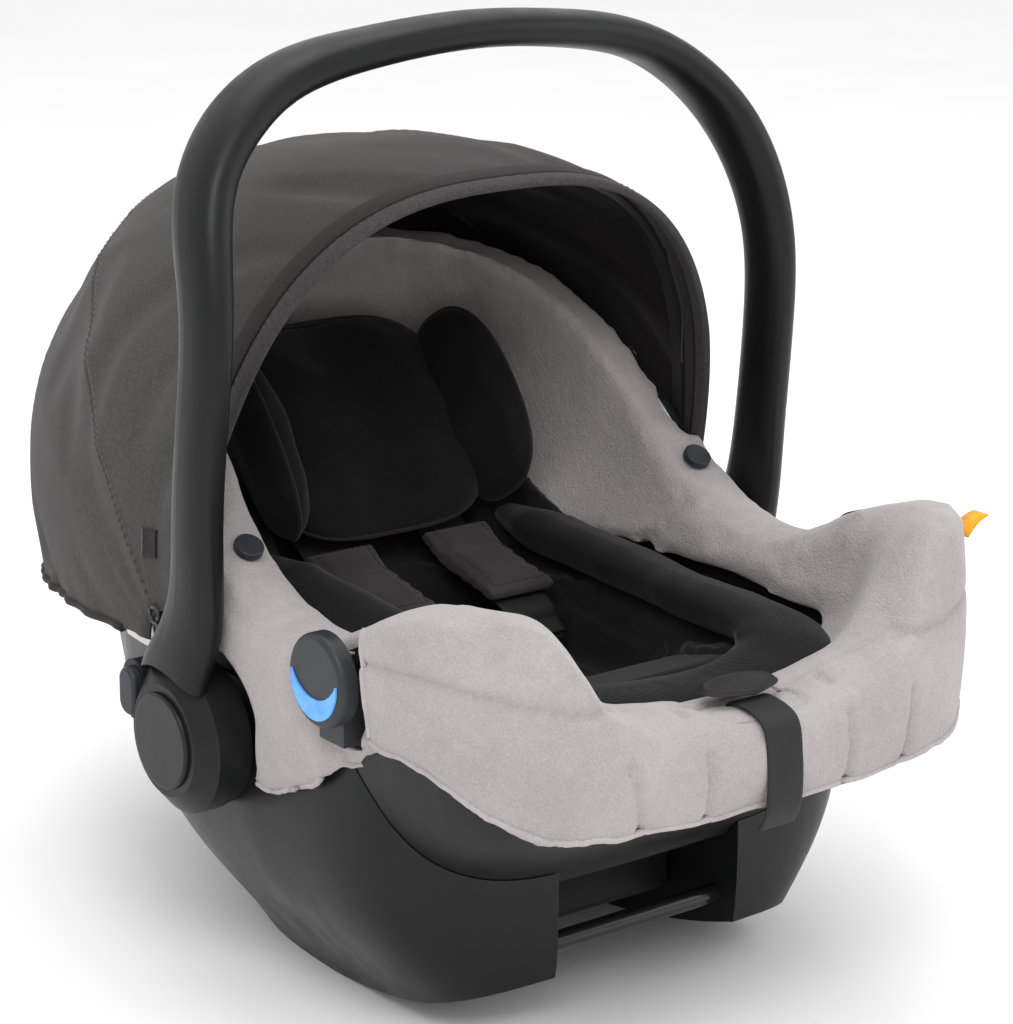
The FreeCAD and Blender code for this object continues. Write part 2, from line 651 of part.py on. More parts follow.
def arch_points(half, height, low, count=15):
    # A superellipse arch from one pivot over the top to the other, in its own plane: x, r.
    points = []
    start = math.asin((low / height) ** (CANOPY_POWER / 2))
    for i in range(count):
        angle = start + (math.pi - 2 * start) * i / (count - 1)
        points.append((half * signed_power(math.cos(angle), 2 / CANOPY_POWER),
                       height * abs(math.sin(angle)) ** (2 / CANOPY_POWER)))
    return points


def arch_wire(half, height, low, thickness, placed):
    # A closed outline between an arch and a smaller one inside it. placed(x, r) gives a point in space.
    outer = [placed(x, r) for x, r in arch_points(half, height, low)]
    inner = [placed(x, r) for x, r in arch_points(half - thickness, height - thickness, low)]
    edges = [open_spline(outer), Part.LineSegment(outer[-1], inner[-1]).toShape(),
             open_spline(inner[::-1]), Part.LineSegment(inner[0], outer[0]).toShape()]
    return Part.Wire(edges)


def leaned_arch(degrees, half, height, thickness):
    lean = math.radians(degrees)
    return arch_wire(half, height, CANOPY_LOW, thickness,
                     lambda x, r: vec(x, CANOPY_Y + r * math.sin(lean), CANOPY_Z + r * math.cos(lean)))


def canopy_sheet(angles):
    wires = [leaned_arch(a, CANOPY_HALF, canopy_radius(a), FABRIC) for a in angles]
    return Part.makeLoft(wires, True, False)


def canopy_bow(degrees, half, height):
    # A flat springy bow in its own plane with an eye at each end, drawn upright and then leaned over.
    wire = arch_wire(half, height, BOW_LOW, BOW_THICK, lambda x, r: vec(x, -BOW_DEPTH / 2, r))
    strip = Part.Face(wire).extrude(vec(0, BOW_DEPTH, 0))
    eyes = both_sides(cylinder_x(half - BOW_THICK, half, 0, 0, BOW_EYE))
    pins = cylinder_x(-FAR, FAR, 0, 0, CANOPY_PIN + RUNNING_FIT)
    bow = strip.fuse(eyes).cut(pins).removeSplitter()
    bow.rotate(vec(0, 0, 0), vec(1, 0, 0), -degrees)
    bow.translate(vec(0, CANOPY_Y, CANOPY_Z))
    return bow


def make_canopy():
    front_half = CANOPY_HALF - FABRIC - 0.3
    front_height = canopy_radius(CANOPY_FRONT)
    save("canopy_bow_front", canopy_bow(CANOPY_FRONT + FRONT_BOW_BACK, front_half,
                                        front_height - FABRIC - BOW_INSET))
    save("canopy_bow_middle", canopy_bow(CANOPY_MID, front_half - BOW_STEP,
                                         canopy_radius(CANOPY_MID) - FABRIC - BOW_INSET))
    angles = [a for a, _ in CANOPY_RADII]
    middle = angles.index(CANOPY_MID)
    save("canopy_panel_front", canopy_sheet(angles[:middle] + [CANOPY_MID - PANEL_GAP]))
    save("canopy_panel_rear", canopy_sheet([CANOPY_MID + PANEL_GAP] + angles[middle + 1:]))
    edge = CANOPY_FRONT - PANEL_GAP
    wires = [leaned_arch(a, CANOPY_HALF + BINDING_PROUD, front_height + BINDING_PROUD, FABRIC + BINDING_PROUD)
             for a in (edge - BINDING_LENGTH, edge)]
    save("canopy_binding", Part.makeLoft(wires, True, False))
    boss = cylinder_x(*CANOPY_BOSS_X, CANOPY_Y, CANOPY_Z, CANOPY_BOSS).cut(bowl(OUTER_SHELL, HAIR))
    pin = cylinder_x(*CANOPY_PIN_X, CANOPY_Y, CANOPY_Z, CANOPY_PIN)
    save_pair("canopy_mount", largest(boss).fuse(pin).removeSplitter())


def make_cover():
    # Lining, rim and skirt in one: everything under the skirt's outline that no other piece needs.
    inside = bowl(SEAT_BUCKET, -WALL - LINING)
    shells = bowl(OUTER_SHELL, SLIP).cut([bowl(SEAT_BUCKET, -WALL - SLIP)] + above_rim(SLIP))
    outside = prism_x(COVER_HEM, -FAR, FAR, lid_z=-100).cut(bowl(OUTER_SHELL, COVER_SWELL))
    behind = prism_x(COVER_UNDER, -FAR, FAR).cut(bowl(SEAT_BUCKET, -WALL - SLIP))
    hubs = at_pivot(-FAR, FAR, COVER_HUB_RADIUS)
    ears = bowl(EARS).common(box(-FAR, FAR, -FAR, EAR_BACK_Y, 0, FAR))
    room = [inside, shells, outside, behind, hubs, box(*COVER_WINDOW), adjuster_gap()]
    room += [bowl(BASE, 3 * SLIP)] + above_rim(COVER_RISE) + guide_room() + harness_slots(SLOT_MARGIN)
    cover = largest(bowl(SKIRT).fuse(ears).cut(room))
    notches = both_sides(box(*COVER_BOW_ROOM)) + both_sides(box(*COVER_POST_ROOM))
    save("seat_cover", largest(cover.cut(notches)))


def make_insert():
    block = bowl(SEAT_BUCKET, -WALL - LINING - SLIP).cut(bowl(SEAT_BUCKET, -WALL - LINING - INSERT))
    top = prism_x(INSERT_TOP, -FAR, FAR, lid_z=OVERHEAD_Z)
    keep = box(-INSERT_HALF, INSERT_HALF, INSERT_FRONT_Y, FAR, 0, FAR).cut(top)
    save("body_insert", largest(block.common(keep).cut(harness_slots(SLOT_MARGIN))))


def make_pillow():
    wings = both_sides(rounded_box(PILLOW_WING, PILLOW_ROUND))
    pillow = rounded_box(PILLOW_SLAB, PILLOW_ROUND + 1).fuse(wings).removeSplitter()
    pillow.rotate(vec(0, 0, 0), vec(1, 0, 0), -PILLOW_LEAN)
    pillow.translate(vec(0, PILLOW_Y, PILLOW_Z))
    save("head_pillow", pillow)


def make_harness():
    inner, outer = STRAP_X - STRAP_HALF, STRAP_X + STRAP_HALF
    save_pair("shoulder_strap", band(SHOULDER_PATH, -outer, -inner, STRAP_THICK))
    save_pair("harness_pad", band(PAD_PATH, -outer - PAD_MARGIN, -inner + PAD_MARGIN, PAD_THICK,
                                  STRAP_THICK + PAD_LIFT))
    rooms = [box(*BUCKLE_BUTTON_ROOM), box(*BUCKLE_TONGUE_ROOM), box(*BUCKLE_STRAP_ROOM)]
    save("buckle_body", rounded_box(BUCKLE, BUCKLE_ROUND).cut(rooms))
    save("buckle_button", rounded_box(BUCKLE_BUTTON, SMALL_ROUND))
    save_pair("buckle_tongue", box(*TONGUE_BLADE).fuse(box(*TONGUE_BAR)).removeSplitter())
    save("crotch_strap", band(CROTCH_PATH, -STRAP_HALF, STRAP_HALF, STRAP_THICK))
    save("splitter_plate", rounded_box(SPLITTER, SPLITTER_ROUND))


def make_adjuster():
    half = ADJUSTER_STRAP_HALF
    save("adjuster_strap", band(ADJUSTER_PATH, -half, half, ADJUSTER_STRAP_THICK))
    housing = rounded_box(ADJUSTER_HOUSING, 2 * SMALL_ROUND).cut([adjuster_gap(), box(*ADJUSTER_BUTTON_ROOM)])
    save("adjuster_housing", largest(housing))
    save("adjuster_button", rounded_box(ADJUSTER_BUTTON, SMALL_ROUND))
    half = FLAP_STRAIGHT / 2
    ends = [Part.makeCylinder(FLAP_RADIUS, FLAP_THICK, vec(x, FLAP_Y, FLAP_Z)) for x in (-half, half)]
    middle = box(-half, half, FLAP_Y - FLAP_RADIUS, FLAP_Y + FLAP_RADIUS, FLAP_Z, FLAP_Z + FLAP_THICK)
    save("adjuster_flap", middle.fuse(ends).removeSplitter())


def make_belt_guides():
    outer, inner = GUIDE_X
    post = box(inner, POST_INNER_X, GUIDE_Y - POST_HALF, GUIDE_Y + POST_HALF, POST_FOOT_Z, GUIDE_Z)
    disc = round_outer_edge(cylinder_x(outer, inner, GUIDE_Y, GUIDE_Z, GUIDE_RADIUS), outer, GUIDE_ROUND)
    save_pair("belt_guide", disc.fuse(post.cut(bowl(OUTER_SHELL, HAIR))).removeSplitter())
    moon = cylinder_x(-FAR, outer, GUIDE_Y, GUIDE_Z + MARKER_CUT_RISE, MARKER_CUT_RADIUS)
    marker = cylinder_x(outer - MARKER_THICK, outer, GUIDE_Y, GUIDE_Z, MARKER_RADIUS)
    save_pair("belt_guide_marker", marker.cut(moon))
    save("rear_belt_guide", largest(box(*REAR_GUIDE).cut([box(*REAR_GUIDE_GAP), bowl(OUTER_SHELL, HAIR)])))


def make_rim_buttons():
    spot = vec(*RIM_BUTTON)
    disc = Part.makeCylinder(RIM_BUTTON_RADIUS, RIM_BUTTON_THICK, spot)
    top = [e for e in disc.Edges if e.Closed and e.CenterOfMass.z > spot.z + 1]
    disc = disc.makeFillet(RIM_BUTTON_ROUND, top)
    disc.rotate(spot, vec(1, 0, 0), RIM_BUTTON_TILT)
    save_pair("rim_button", disc)


def make_all():
    os.makedirs("parts", exist_ok=True)
    for name in os.listdir("parts"):
        if name.endswith(".step"):
            os.remove("parts/" + name)
    make_shells()
    make_foam()
    make_base()
    make_anchor_bars()
    make_keel()
    make_latch()
    make_hubs()
    make_pivots()
    make_lock()
    make_handle()
    make_canopy()
    make_cover()
    make_insert()
    make_pillow()
    make_harness()
    make_adjuster()
    make_belt_guides()
    make_rim_buttons()
    for name, count, volume, valid in PARTS:
        print(name, count, round(volume / 1000, 1), "cm3", "ok" if valid else "INVALID")


make_all()
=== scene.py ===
import bpy
import json
import math
import numpy as np
from mathutils import Matrix, Vector, noise
from mathutils.bvhtree import BVHTree


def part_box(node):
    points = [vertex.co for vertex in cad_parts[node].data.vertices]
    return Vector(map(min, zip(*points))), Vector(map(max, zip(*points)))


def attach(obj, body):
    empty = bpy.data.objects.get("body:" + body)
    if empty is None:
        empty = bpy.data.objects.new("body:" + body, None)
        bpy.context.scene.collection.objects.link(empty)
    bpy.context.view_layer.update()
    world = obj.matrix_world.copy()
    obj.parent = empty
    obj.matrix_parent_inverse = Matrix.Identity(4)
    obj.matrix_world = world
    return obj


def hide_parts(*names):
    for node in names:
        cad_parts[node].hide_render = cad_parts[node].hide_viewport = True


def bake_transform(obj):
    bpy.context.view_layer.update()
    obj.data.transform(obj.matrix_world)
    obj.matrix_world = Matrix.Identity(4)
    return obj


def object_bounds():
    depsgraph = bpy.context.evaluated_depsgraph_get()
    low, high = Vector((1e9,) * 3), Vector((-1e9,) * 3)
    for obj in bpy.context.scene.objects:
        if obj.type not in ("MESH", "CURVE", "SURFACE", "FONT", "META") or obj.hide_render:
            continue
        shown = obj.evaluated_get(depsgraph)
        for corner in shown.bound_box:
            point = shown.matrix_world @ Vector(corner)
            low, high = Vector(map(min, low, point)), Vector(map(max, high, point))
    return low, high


# Infant car seat. Metres, +Z up, -Y the foot end, +X to the seat's other side.
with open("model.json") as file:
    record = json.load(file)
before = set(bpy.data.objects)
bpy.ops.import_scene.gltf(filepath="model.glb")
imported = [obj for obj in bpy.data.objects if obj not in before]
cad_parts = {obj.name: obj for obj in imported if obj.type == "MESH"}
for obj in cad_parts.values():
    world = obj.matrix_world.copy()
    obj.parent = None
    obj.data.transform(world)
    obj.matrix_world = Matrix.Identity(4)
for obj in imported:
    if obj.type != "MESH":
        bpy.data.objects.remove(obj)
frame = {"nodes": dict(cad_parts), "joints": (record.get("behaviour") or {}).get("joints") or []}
cad_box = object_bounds()
NODES = frame["nodes"]
JOINTS = {joint["name"]: joint for joint in frame["joints"]}
MM = 0.001


# ---------------------------------------------------------------- materials

class Shader:
    """A node material on one Principled shader, textured in the piece's own coordinates in metres."""

    def __init__(self, name, **sockets):
        self.material = bpy.data.materials.new(name)
        self.material.use_nodes = True
        self.tree = self.material.node_tree
        self.shader = self.tree.nodes["Principled BSDF"]
        for socket, value in sockets.items():
            self.shader.inputs[socket.replace("_", " ")].default_value = value
        self.place = self.add("ShaderNodeTexCoord").outputs["Object"]

    def add(self, kind, inputs=(), **settings):
        node = self.tree.nodes.new(kind)
        for key, value in settings.items():
            setattr(node, key, value)
        for key, value in dict(inputs).items():
            if isinstance(value, bpy.types.NodeSocket):
                self.tree.links.new(value, node.inputs[key])
            else:
                node.inputs[key].default_value = value
        return node

    def stretched(self, scale, source=None):
        inputs = {"Vector": source or self.place, "Scale": scale}
        return self.add("ShaderNodeMapping", inputs).outputs["Vector"]

    def noise(self, scale, detail=3.0, source=None, roughness=0.55):
        inputs = {"Vector": source or self.place, "Scale": scale, "Detail": detail, "Roughness": roughness}
        return self.add("ShaderNodeTexNoise", inputs).outputs["Fac"]

    def waves(self, scale, source, direction="X", distortion=0.0):
        inputs = {"Vector": source, "Scale": scale, "Distortion": distortion}
        node = self.add("ShaderNodeTexWave", inputs, wave_type="BANDS", bands_direction=direction)
        return node.outputs["Fac"]

    def cells(self, scale, source=None):
        inputs = {"Vector": source or self.place, "Scale": scale}
        return self.add("ShaderNodeTexVoronoi", inputs).outputs["Distance"]

    def maths(self, operation, a, b=0.5, clamp=False):
        return self.add("ShaderNodeMath", {0: a, 1: b}, operation=operation, use_clamp=clamp).outputs[0]

    def ramp(self, factor, low, high, dark, light):
        inputs = {"Value": factor, "From Min": low, "From Max": high, "To Min": 0.0, "To Max": 1.0}
        spread = self.add("ShaderNodeMapRange", inputs).outputs["Result"]
        return self.mix(spread, dark, light)

    def mix(self, factor, a, b):
        node = self.add("ShaderNodeMix", {0: factor}, data_type="RGBA")
        for index, value in ((6, a), (7, b)):
            if isinstance(value, bpy.types.NodeSocket):
                self.tree.links.new(value, node.inputs[index])
            else:
                node.inputs[index].default_value = (*value, 1.0)
        return node.outputs[2]

    def between(self, factor, low, high, start=0.3, stop=0.7):
        inputs = {"Value": factor, "From Min": start, "From Max": stop, "To Min": low, "To Max": high}
        return self.add("ShaderNodeMapRange", inputs).outputs["Result"]

    def bump(self, height, strength, distance, under=None):
        inputs = {"Height": height, "Strength": strength, "Distance": distance}
        if under is not None:
            inputs["Normal"] = under
        return self.add("ShaderNodeBump", inputs).outputs["Normal"]

    def finish(self, colour=None, roughness=None, normal=None):
        for socket, value in (("Base Color", colour), ("Roughness", roughness), ("Normal", normal)):
            if value is not None:
                self.tree.links.new(value, self.shader.inputs[socket])
        return self.material


def shade(colour, factor):
    return tuple(min(1.0, c * factor) for c in colour)


def moulded_plastic(name, colour, rough=0.42, grain=0.1, gloss=0.4):
    """Moulded plastic: fine spark-eroded grain, slow gloss changes, and edges worn a little lighter."""
    s = Shader(name, Specular_IOR_Level=gloss)
    broad, fine = s.noise(7.0, 4.0), s.noise(2200.0, 2.0)
    smears = s.noise(40.0, 5.0, s.stretched((1.0, 1.0, 0.25)))
    base = s.ramp(broad, 0.3, 0.7, shade(colour, 0.88), shade(colour, 1.14))
    edge = s.add("ShaderNodeNewGeometry").outputs["Pointiness"]
    worn = s.maths("MULTIPLY", s.between(edge, 0.0, 0.7, 0.53, 0.62), s.between(s.noise(90.0), 0.0, 1.0))
    base = s.mix(worn, base, shade(colour, 1.9))
    roughness = s.between(smears, rough - 0.06, rough + 0.09)
    normal = s.bump(fine, grain, 0.0004, s.bump(s.noise(55.0), 0.03, 0.002))
    return s.finish(base, roughness, normal)


def terry(name, colour):
    """Brushed terry: short pile that lies in soft patches, with small loops and stray light fibres."""
    s = Shader(name, Sheen_Weight=0.3, Sheen_Roughness=0.45, Specular_IOR_Level=0.12)
    patches, mottle = s.noise(16.0, 4.0), s.noise(130.0, 3.0)
    fibres = s.noise(1.0, 3.0, s.stretched((1500.0, 900.0, 700.0)))
    loops = s.cells(640.0)
    base = s.ramp(patches, 0.3, 0.7, shade(colour, 0.86), shade(colour, 1.08))
    base = s.mix(s.between(mottle, 0.0, 0.3), base, shade(colour, 0.74))
    base = s.mix(s.between(fibres, 0.0, 0.45, 0.45, 0.75), base, shade(colour, 1.32))
    base = s.mix(s.between(loops, 0.22, 0.0, 0.0, 0.5), base, shade(colour, 0.55))
    pile = s.maths("ADD", s.maths("MULTIPLY", loops, 0.8), s.maths("MULTIPLY", fibres, 0.6))
    normal = s.bump(pile, 0.5, 0.0011, s.bump(mottle, 0.35, 0.0022))
    return s.finish(base, s.between(mottle, 0.86, 0.98), normal)


def melange(name, dark, light, weave=900.0):
    """Melange canopy cloth: light and dark yarns crossing in a plain weave, darker in the gaps as painted
    shade.
    """
    s = Shader(name, Sheen_Weight=0.1, Sheen_Roughness=0.5, Specular_IOR_Level=0.12)
    across = s.noise(1.0, 2.0, s.stretched((220.0, 1900.0, 1900.0)))
    upright = s.noise(1.0, 2.0, s.stretched((1900.0, 420.0, 300.0)))
    yarn_and_gap_shade = s.maths("MULTIPLY", s.maths("ADD", across, upright), 0.5)
    slow = s.noise(9.0, 3.0)
    # Partly painted shade: this mask gives the real light and dark yarns, and its dark end also lies where
    # the yarn bump dips, in the gaps.
    base = s.ramp(yarn_and_gap_shade, 0.4, 0.6, dark, light)
    base = s.mix(s.between(slow, 0.0, 0.25), base, shade(dark, 0.8))
    threads = s.maths("MULTIPLY", s.waves(weave, s.place, "X"), s.waves(weave, s.place, "Z"))
    normal = s.bump(threads, 0.25, 0.0006, s.bump(yarn_and_gap_shade, 0.3, 0.0006))
    return s.finish(base, s.between(yarn_and_gap_shade, 0.78, 0.92), normal)


def knit(name, colour, lift=1.0):
    """Fine stretch knit: rows of small loops, matt with a soft sheen."""
    s = Shader(name, Sheen_Weight=0.13 * lift, Sheen_Roughness=0.4, Specular_IOR_Level=0.14)
    rows = s.waves(520.0, s.place, "Z", 1.5)
    columns = s.waves(700.0, s.place, "X", 1.0)
    loops = s.maths("MULTIPLY", rows, columns)
    lint = s.noise(420.0, 3.0)
    base = s.ramp(s.noise(24.0, 3.0), 0.3, 0.7, shade(colour, 0.8), shade(colour, 1.25))
    base = s.mix(s.between(loops, 0.0, 0.35), base, shade(colour, 1.7))
    base = s.mix(s.between(lint, 0.0, 0.25, 0.62, 0.8), base, shade(colour, 3.0))
    normal = s.bump(loops, 0.3, 0.0006, s.bump(lint, 0.2, 0.0005))
    return s.finish(base, s.between(lint, 0.8, 0.93), normal)


def webbing(name, colour):
    """Woven webbing, textured along its own length: a herringbone between two ribbed edges."""
    s = Shader(name, Specular_IOR_Level=0.35)
    along = s.add("ShaderNodeTexCoord").outputs["UV"]
    twill = s.waves(420.0, along, "DIAGONAL", 0.6)
    ribs = s.waves(160.0, along, "X")
    picks = s.waves(330.0, along, "Y")
    weave = s.maths("ADD", s.maths("MULTIPLY", twill, 0.6), s.maths("MULTIPLY", ribs, 0.4))
    base = s.ramp(weave, 0.1, 0.9, shade(colour, 0.6), shade(colour, 1.5))
    base = s.mix(s.between(s.noise(260.0, 3.0), 0.0, 0.3, 0.55, 0.75), base, shade(colour, 2.2))
    normal = s.bump(weave, 0.5, 0.0007, s.bump(picks, 0.2, 0.0004))
    return s.finish(base, s.between(twill, 0.42, 0.62, 0.0, 1.0), normal)


def metal(name, colour, rough, metallic=1.0):
    s = Shader(name, Metallic=metallic, Specular_IOR_Level=0.5)
    brushed = s.noise(1.0, 3.0, s.stretched((60.0, 1500.0, 1500.0)))
    base = s.ramp(s.noise(30.0, 4.0), 0.3, 0.7, shade(colour, 0.8), shade(colour, 1.15))
    return s.finish(base, s.between(brushed, rough - 0.08, rough + 0.1), s.bump(brushed, 0.08, 0.0003))


def foam_beads(name, colour):
    s = Shader(name, Specular_IOR_Level=0.25)
    beads = s.cells(260.0)
    base = s.ramp(beads, 0.0, 0.6, shade(colour, 1.05), shade(colour, 0.75))
    return s.finish(base, s.between(beads, 0.75, 0.95, 0.0, 0.6), s.bump(beads, 0.5, 0.001))


COVER_GREY = (0.385, 0.35, 0.35)
M = {
    "cover": terry("cover_terry", COVER_GREY),
    "binding": terry("cover_binding_terry", shade(COVER_GREY, 1.12)),
    "thread": knit("seam_thread", (0.28, 0.255, 0.255)),
    "insert": knit("insert_knit", (0.0085, 0.0078, 0.0085)),
    "piping": knit("insert_piping", (0.016, 0.014, 0.015), 1.6),
    "pad": knit("harness_pad_knit", (0.042, 0.038, 0.039), 1.2),
    "canopy": melange("canopy_melange", (0.042, 0.038, 0.038), (0.07, 0.064, 0.063)),
    "canopy_dark": melange("canopy_melange_dark", (0.017, 0.015, 0.015), (0.042, 0.037, 0.036)),
    "canopy_binding": melange("canopy_binding_weave", (0.034, 0.032, 0.033), (0.07, 0.066, 0.067), 600.0),
    "lining": knit("canopy_lining", (0.012, 0.010, 0.010)),
    "webbing": webbing("harness_webbing", (0.0085, 0.0085, 0.0095)),
    "shell": moulded_plastic("shell_plastic", (0.008, 0.008, 0.0083), 0.42, 0.1, 0.28),
    "base": moulded_plastic("base_plastic", (0.007, 0.0073, 0.0073), 0.34, 0.12, 0.24),
    "handle": moulded_plastic("handle_plastic", (0.006, 0.0063, 0.0063), 0.36, 0.14, 0.25),
    "cap": moulded_plastic("cap_plastic", (0.0075, 0.0075, 0.0075), 0.34, 0.06, 0.28),
    "button": moulded_plastic("button_plastic", (0.022, 0.025, 0.031), 0.4, 0.05, 0.32),
    "bow": moulded_plastic("bow_plastic", (0.012, 0.012, 0.012), 0.4, 0.05),
    "guide": moulded_plastic("guide_plastic", (0.024, 0.025, 0.028), 0.4, 0.08, 0.32),
    "blue": moulded_plastic("blue_marker", (0.085, 0.29, 0.83), 0.4, 0.05),
    "red": moulded_plastic("red_button", (0.55, 0.025, 0.015), 0.3, 0.03),
    "grey": moulded_plastic("grey_button", (0.16, 0.16, 0.165), 0.4, 0.05),
    "gear": moulded_plastic("gear_plastic", (0.2, 0.2, 0.2), 0.45, 0.05),
    "buckle": moulded_plastic("buckle_plastic", (0.016, 0.016, 0.017), 0.26, 0.04, 0.5),
    "rubber": moulded_plastic("flap_rubber", (0.014, 0.014, 0.015), 0.6, 0.2, 0.25),
    "steel": metal("plated_steel", (0.6, 0.6, 0.6), 0.32),
    "bar": metal("bar_gloss_black", (0.012, 0.012, 0.013), 0.16, 0.0),
    "foam": foam_beads("impact_foam_beads", (0.7, 0.7, 0.69)),
    "label": moulded_plastic("blank_label", (0.72, 0.72, 0.7), 0.5, 0.04),
    "tab": melange("orange_tab_weave", (0.8, 0.3, 0.02), (0.95, 0.5, 0.05)),
}

CAD_FINISH = {
    "shell": ["outer_shell", "seat_bucket", "hub_mount", "canopy_mount", "release_guide", "rear_belt_guide"],
    "base": ["base_side", "keel_tray"],
    "handle": ["handle_arch", "handle_hub"],
    "cap": ["hub_cap"],
    "button": ["handle_button", "release_lever", "rim_button", "latch_bar"],
    "foam": ["impact_foam"],
    "steel": ["pivot_pin", "lock_spring", "splitter_plate", "buckle_tongue", "keel_screws"],
    "bar": ["front_anchor_bar", "rear_anchor_bar"],
    "gear": ["lock_gear"],
    "buckle": ["buckle_body", "adjuster_housing"],
    "red": ["buckle_button"],
    "grey": ["adjuster_button"],
    "bow": ["canopy_bow_front", "canopy_bow_middle"],
    "guide": ["belt_guide"],
    "blue": ["belt_guide_marker"],
}


def paint_cad_nodes():
    for finish, names in CAD_FINISH.items():
        for name in names:
            for node in (name, name + "_left", name + "_right"):
                if node in NODES:
                    mesh = NODES[node].data
                    mesh.materials.clear()
                    mesh.materials.append(M[finish])


# ---------------------------------------------------------------- mesh helpers

def new_object(name, points, faces, material, smooth=True):
    mesh = bpy.data.meshes.new(name)
    mesh.from_pydata([tuple(p) for p in points], [], faces)
    mesh.update()
    piece = bpy.data.objects.new(name, mesh)
    bpy.context.scene.collection.objects.link(piece)
    piece.data.materials.append(M[material])
    for polygon in mesh.polygons:
        polygon.use_smooth = smooth
    return piece


def ring_faces(rings, sides, closed=False, flip=False, ends=False):
    """Quads from each ring of points to the next, back to the first where closed, and faces over the ends."""
    faces = []
    for i in range(rings if closed else rings - 1):
        for k in range(sides):
            a, b = i * sides + k, i * sides + (k + 1) % sides
            c, d = (b + sides) % (rings * sides), (a + sides) % (rings * sides)
            faces.append((a, d, c, b) if flip else (a, b, c, d))
    if ends:
        first, last = tuple(range(sides)), tuple(range((rings - 1) * sides, rings * sides))
        faces += [first, last[::-1]] if flip else [first[::-1], last]
    return faces


def grid_faces(rows, columns):
    """Quads over a grid of points with that many quads each way."""
    width = columns + 1
    starts = [i * width + k for i in range(rows) for k in range(columns)]
    return [(a, a + 1, a + width + 1, a + width) for a in starts]


def coordinates(mesh):
    flat = np.zeros(len(mesh.vertices) * 3, np.float32)
    mesh.vertices.foreach_get("co", flat)
    return flat.reshape(-1, 3).astype(float)


def set_coordinates(mesh, points):
    mesh.vertices.foreach_set("co", np.asarray(points, np.float32).ravel())
    mesh.update()


def normals(mesh):
    flat = np.zeros(len(mesh.vertices) * 3, np.float32)
    mesh.vertices.foreach_get("normal", flat)
    return flat.reshape(-1, 3).astype(float)


def apply_modifiers(piece):
    graph = bpy.context.evaluated_depsgraph_get()
    final = bpy.data.meshes.new_from_object(piece.evaluated_get(graph))
    piece.modifiers.clear()
    piece.data = final
    for polygon in final.polygons:
        polygon.use_smooth = True


def joined_neighbours(mesh):
    flat = np.zeros(len(mesh.edges) * 2, np.int32)
    mesh.edges.foreach_get("vertices", flat)
    return flat.reshape(-1, 2)


def relax(piece, rounds, share=0.5):
    """Moves each point towards the middle of its neighbours."""
    points, edges = coordinates(piece.data), joined_neighbours(piece.data)
    count = np.bincount(edges.ravel(), minlength=len(points))[:, None]
    for _ in range(rounds):
        total = np.zeros_like(points)
        np.add.at(total, edges[:, 0], points[edges[:, 1]])
        np.add.at(total, edges[:, 1], points[edges[:, 0]])
        points += (total / np.maximum(count, 1) - points) * share
    set_coordinates(piece.data, points)


def soft_copy(node, name, material, voxel, shrink, rounds, swell=0.0):
    """A closed mesh of even quads on a soft CAD solid, a little smaller and with its edges relaxed.

    A swell before the voxels keeps skins that are thinner than a voxel in one piece."""
    mesh = NODES[node].data.copy()
    piece = bpy.data.objects.new(name, mesh)
    bpy.context.scene.collection.objects.link(piece)
    weld = piece.modifiers.new("weld", "WELD")
    weld.merge_threshold = 0.05 * MM
    if swell:
        apply_modifiers(piece)
        set_coordinates(piece.data, coordinates(piece.data) + normals(piece.data) * swell)
    voxels = piece.modifiers.new("voxels", "REMESH")
    voxels.mode = "VOXEL"
    voxels.voxel_size = voxel
    apply_modifiers(piece)
    relax(piece, rounds)
    set_coordinates(piece.data, coordinates(piece.data) - normals(piece.data) * (shrink + swell))
    piece.data.materials.clear()
    piece.data.materials.append(M[material])
    return piece


CLOTH_FRAMES = 20


def puff_up(jobs):
    """Blows up each piece as a pressurised cloth. A point moves no further than its cap."""
    scene = bpy.context.scene
    starts = []
    for piece, pressure, cap in jobs:
        cloth = piece.modifiers.new("cloth", "CLOTH")
        cloth.settings.quality = 3
        cloth.settings.use_pressure = True
        cloth.settings.uniform_pressure_force = pressure
        cloth.settings.effector_weights.gravity = 0.0
        cloth.collision_settings.use_collision = False
        cloth.collision_settings.use_self_collision = False
        cloth.point_cache.frame_end = CLOTH_FRAMES
        starts.append(coordinates(piece.data))
    for number in range(1, CLOTH_FRAMES + 1):
        scene.frame_set(number)
    graph = bpy.context.evaluated_depsgraph_get()
    for (piece, pressure, cap), start in zip(jobs, starts):
        moved = coordinates(piece.evaluated_get(graph).data) - start
        length = np.linalg.norm(moved, axis=1, keepdims=True)
        moved *= np.minimum(1.0, cap / np.maximum(length, 1e-9))
        piece.modifiers.clear()
        set_coordinates(piece.data, start + moved)
    scene.frame_set(1)


def subdivide(piece, levels=1):
    finer = piece.modifiers.new("finer", "SUBSURF")
    finer.levels = levels
    finer.render_levels = levels
    apply_modifiers(piece)


def smooth_path(points, step, closed=False):
    """Evenly spaced points on a smooth curve through the given points."""
    points = [Vector(p) for p in points]
    count = len(points)
    spots = []
    for i in range(count if closed else count - 1):
        if closed:
            a, b, c, d = (points[(i + k) % count] for k in (-1, 0, 1, 2))
        else:
            a, b, c, d = (points[min(max(i + k, 0), count - 1)] for k in (-1, 0, 1, 2))
        parts = max(2, math.ceil((c - b).length / step))
        for k in range(parts):
            t = k / parts
            spots.append(0.5 * (2 * b + (c - a) * t + (2 * a - 5 * b + 4 * c - d) * t * t
                                + (3 * b - a - 3 * c + d) * t ** 3))
    if not closed:
        spots.append(points[-1])
    return spots


def line_length(line):
    return sum((b - a).length for a, b in zip(line, line[1:]))


def tree_of(piece):
    points = [vertex.co for vertex in piece.data.vertices]
    return BVHTree.FromPolygons(points, [tuple(polygon.vertices) for polygon in piece.data.polygons])


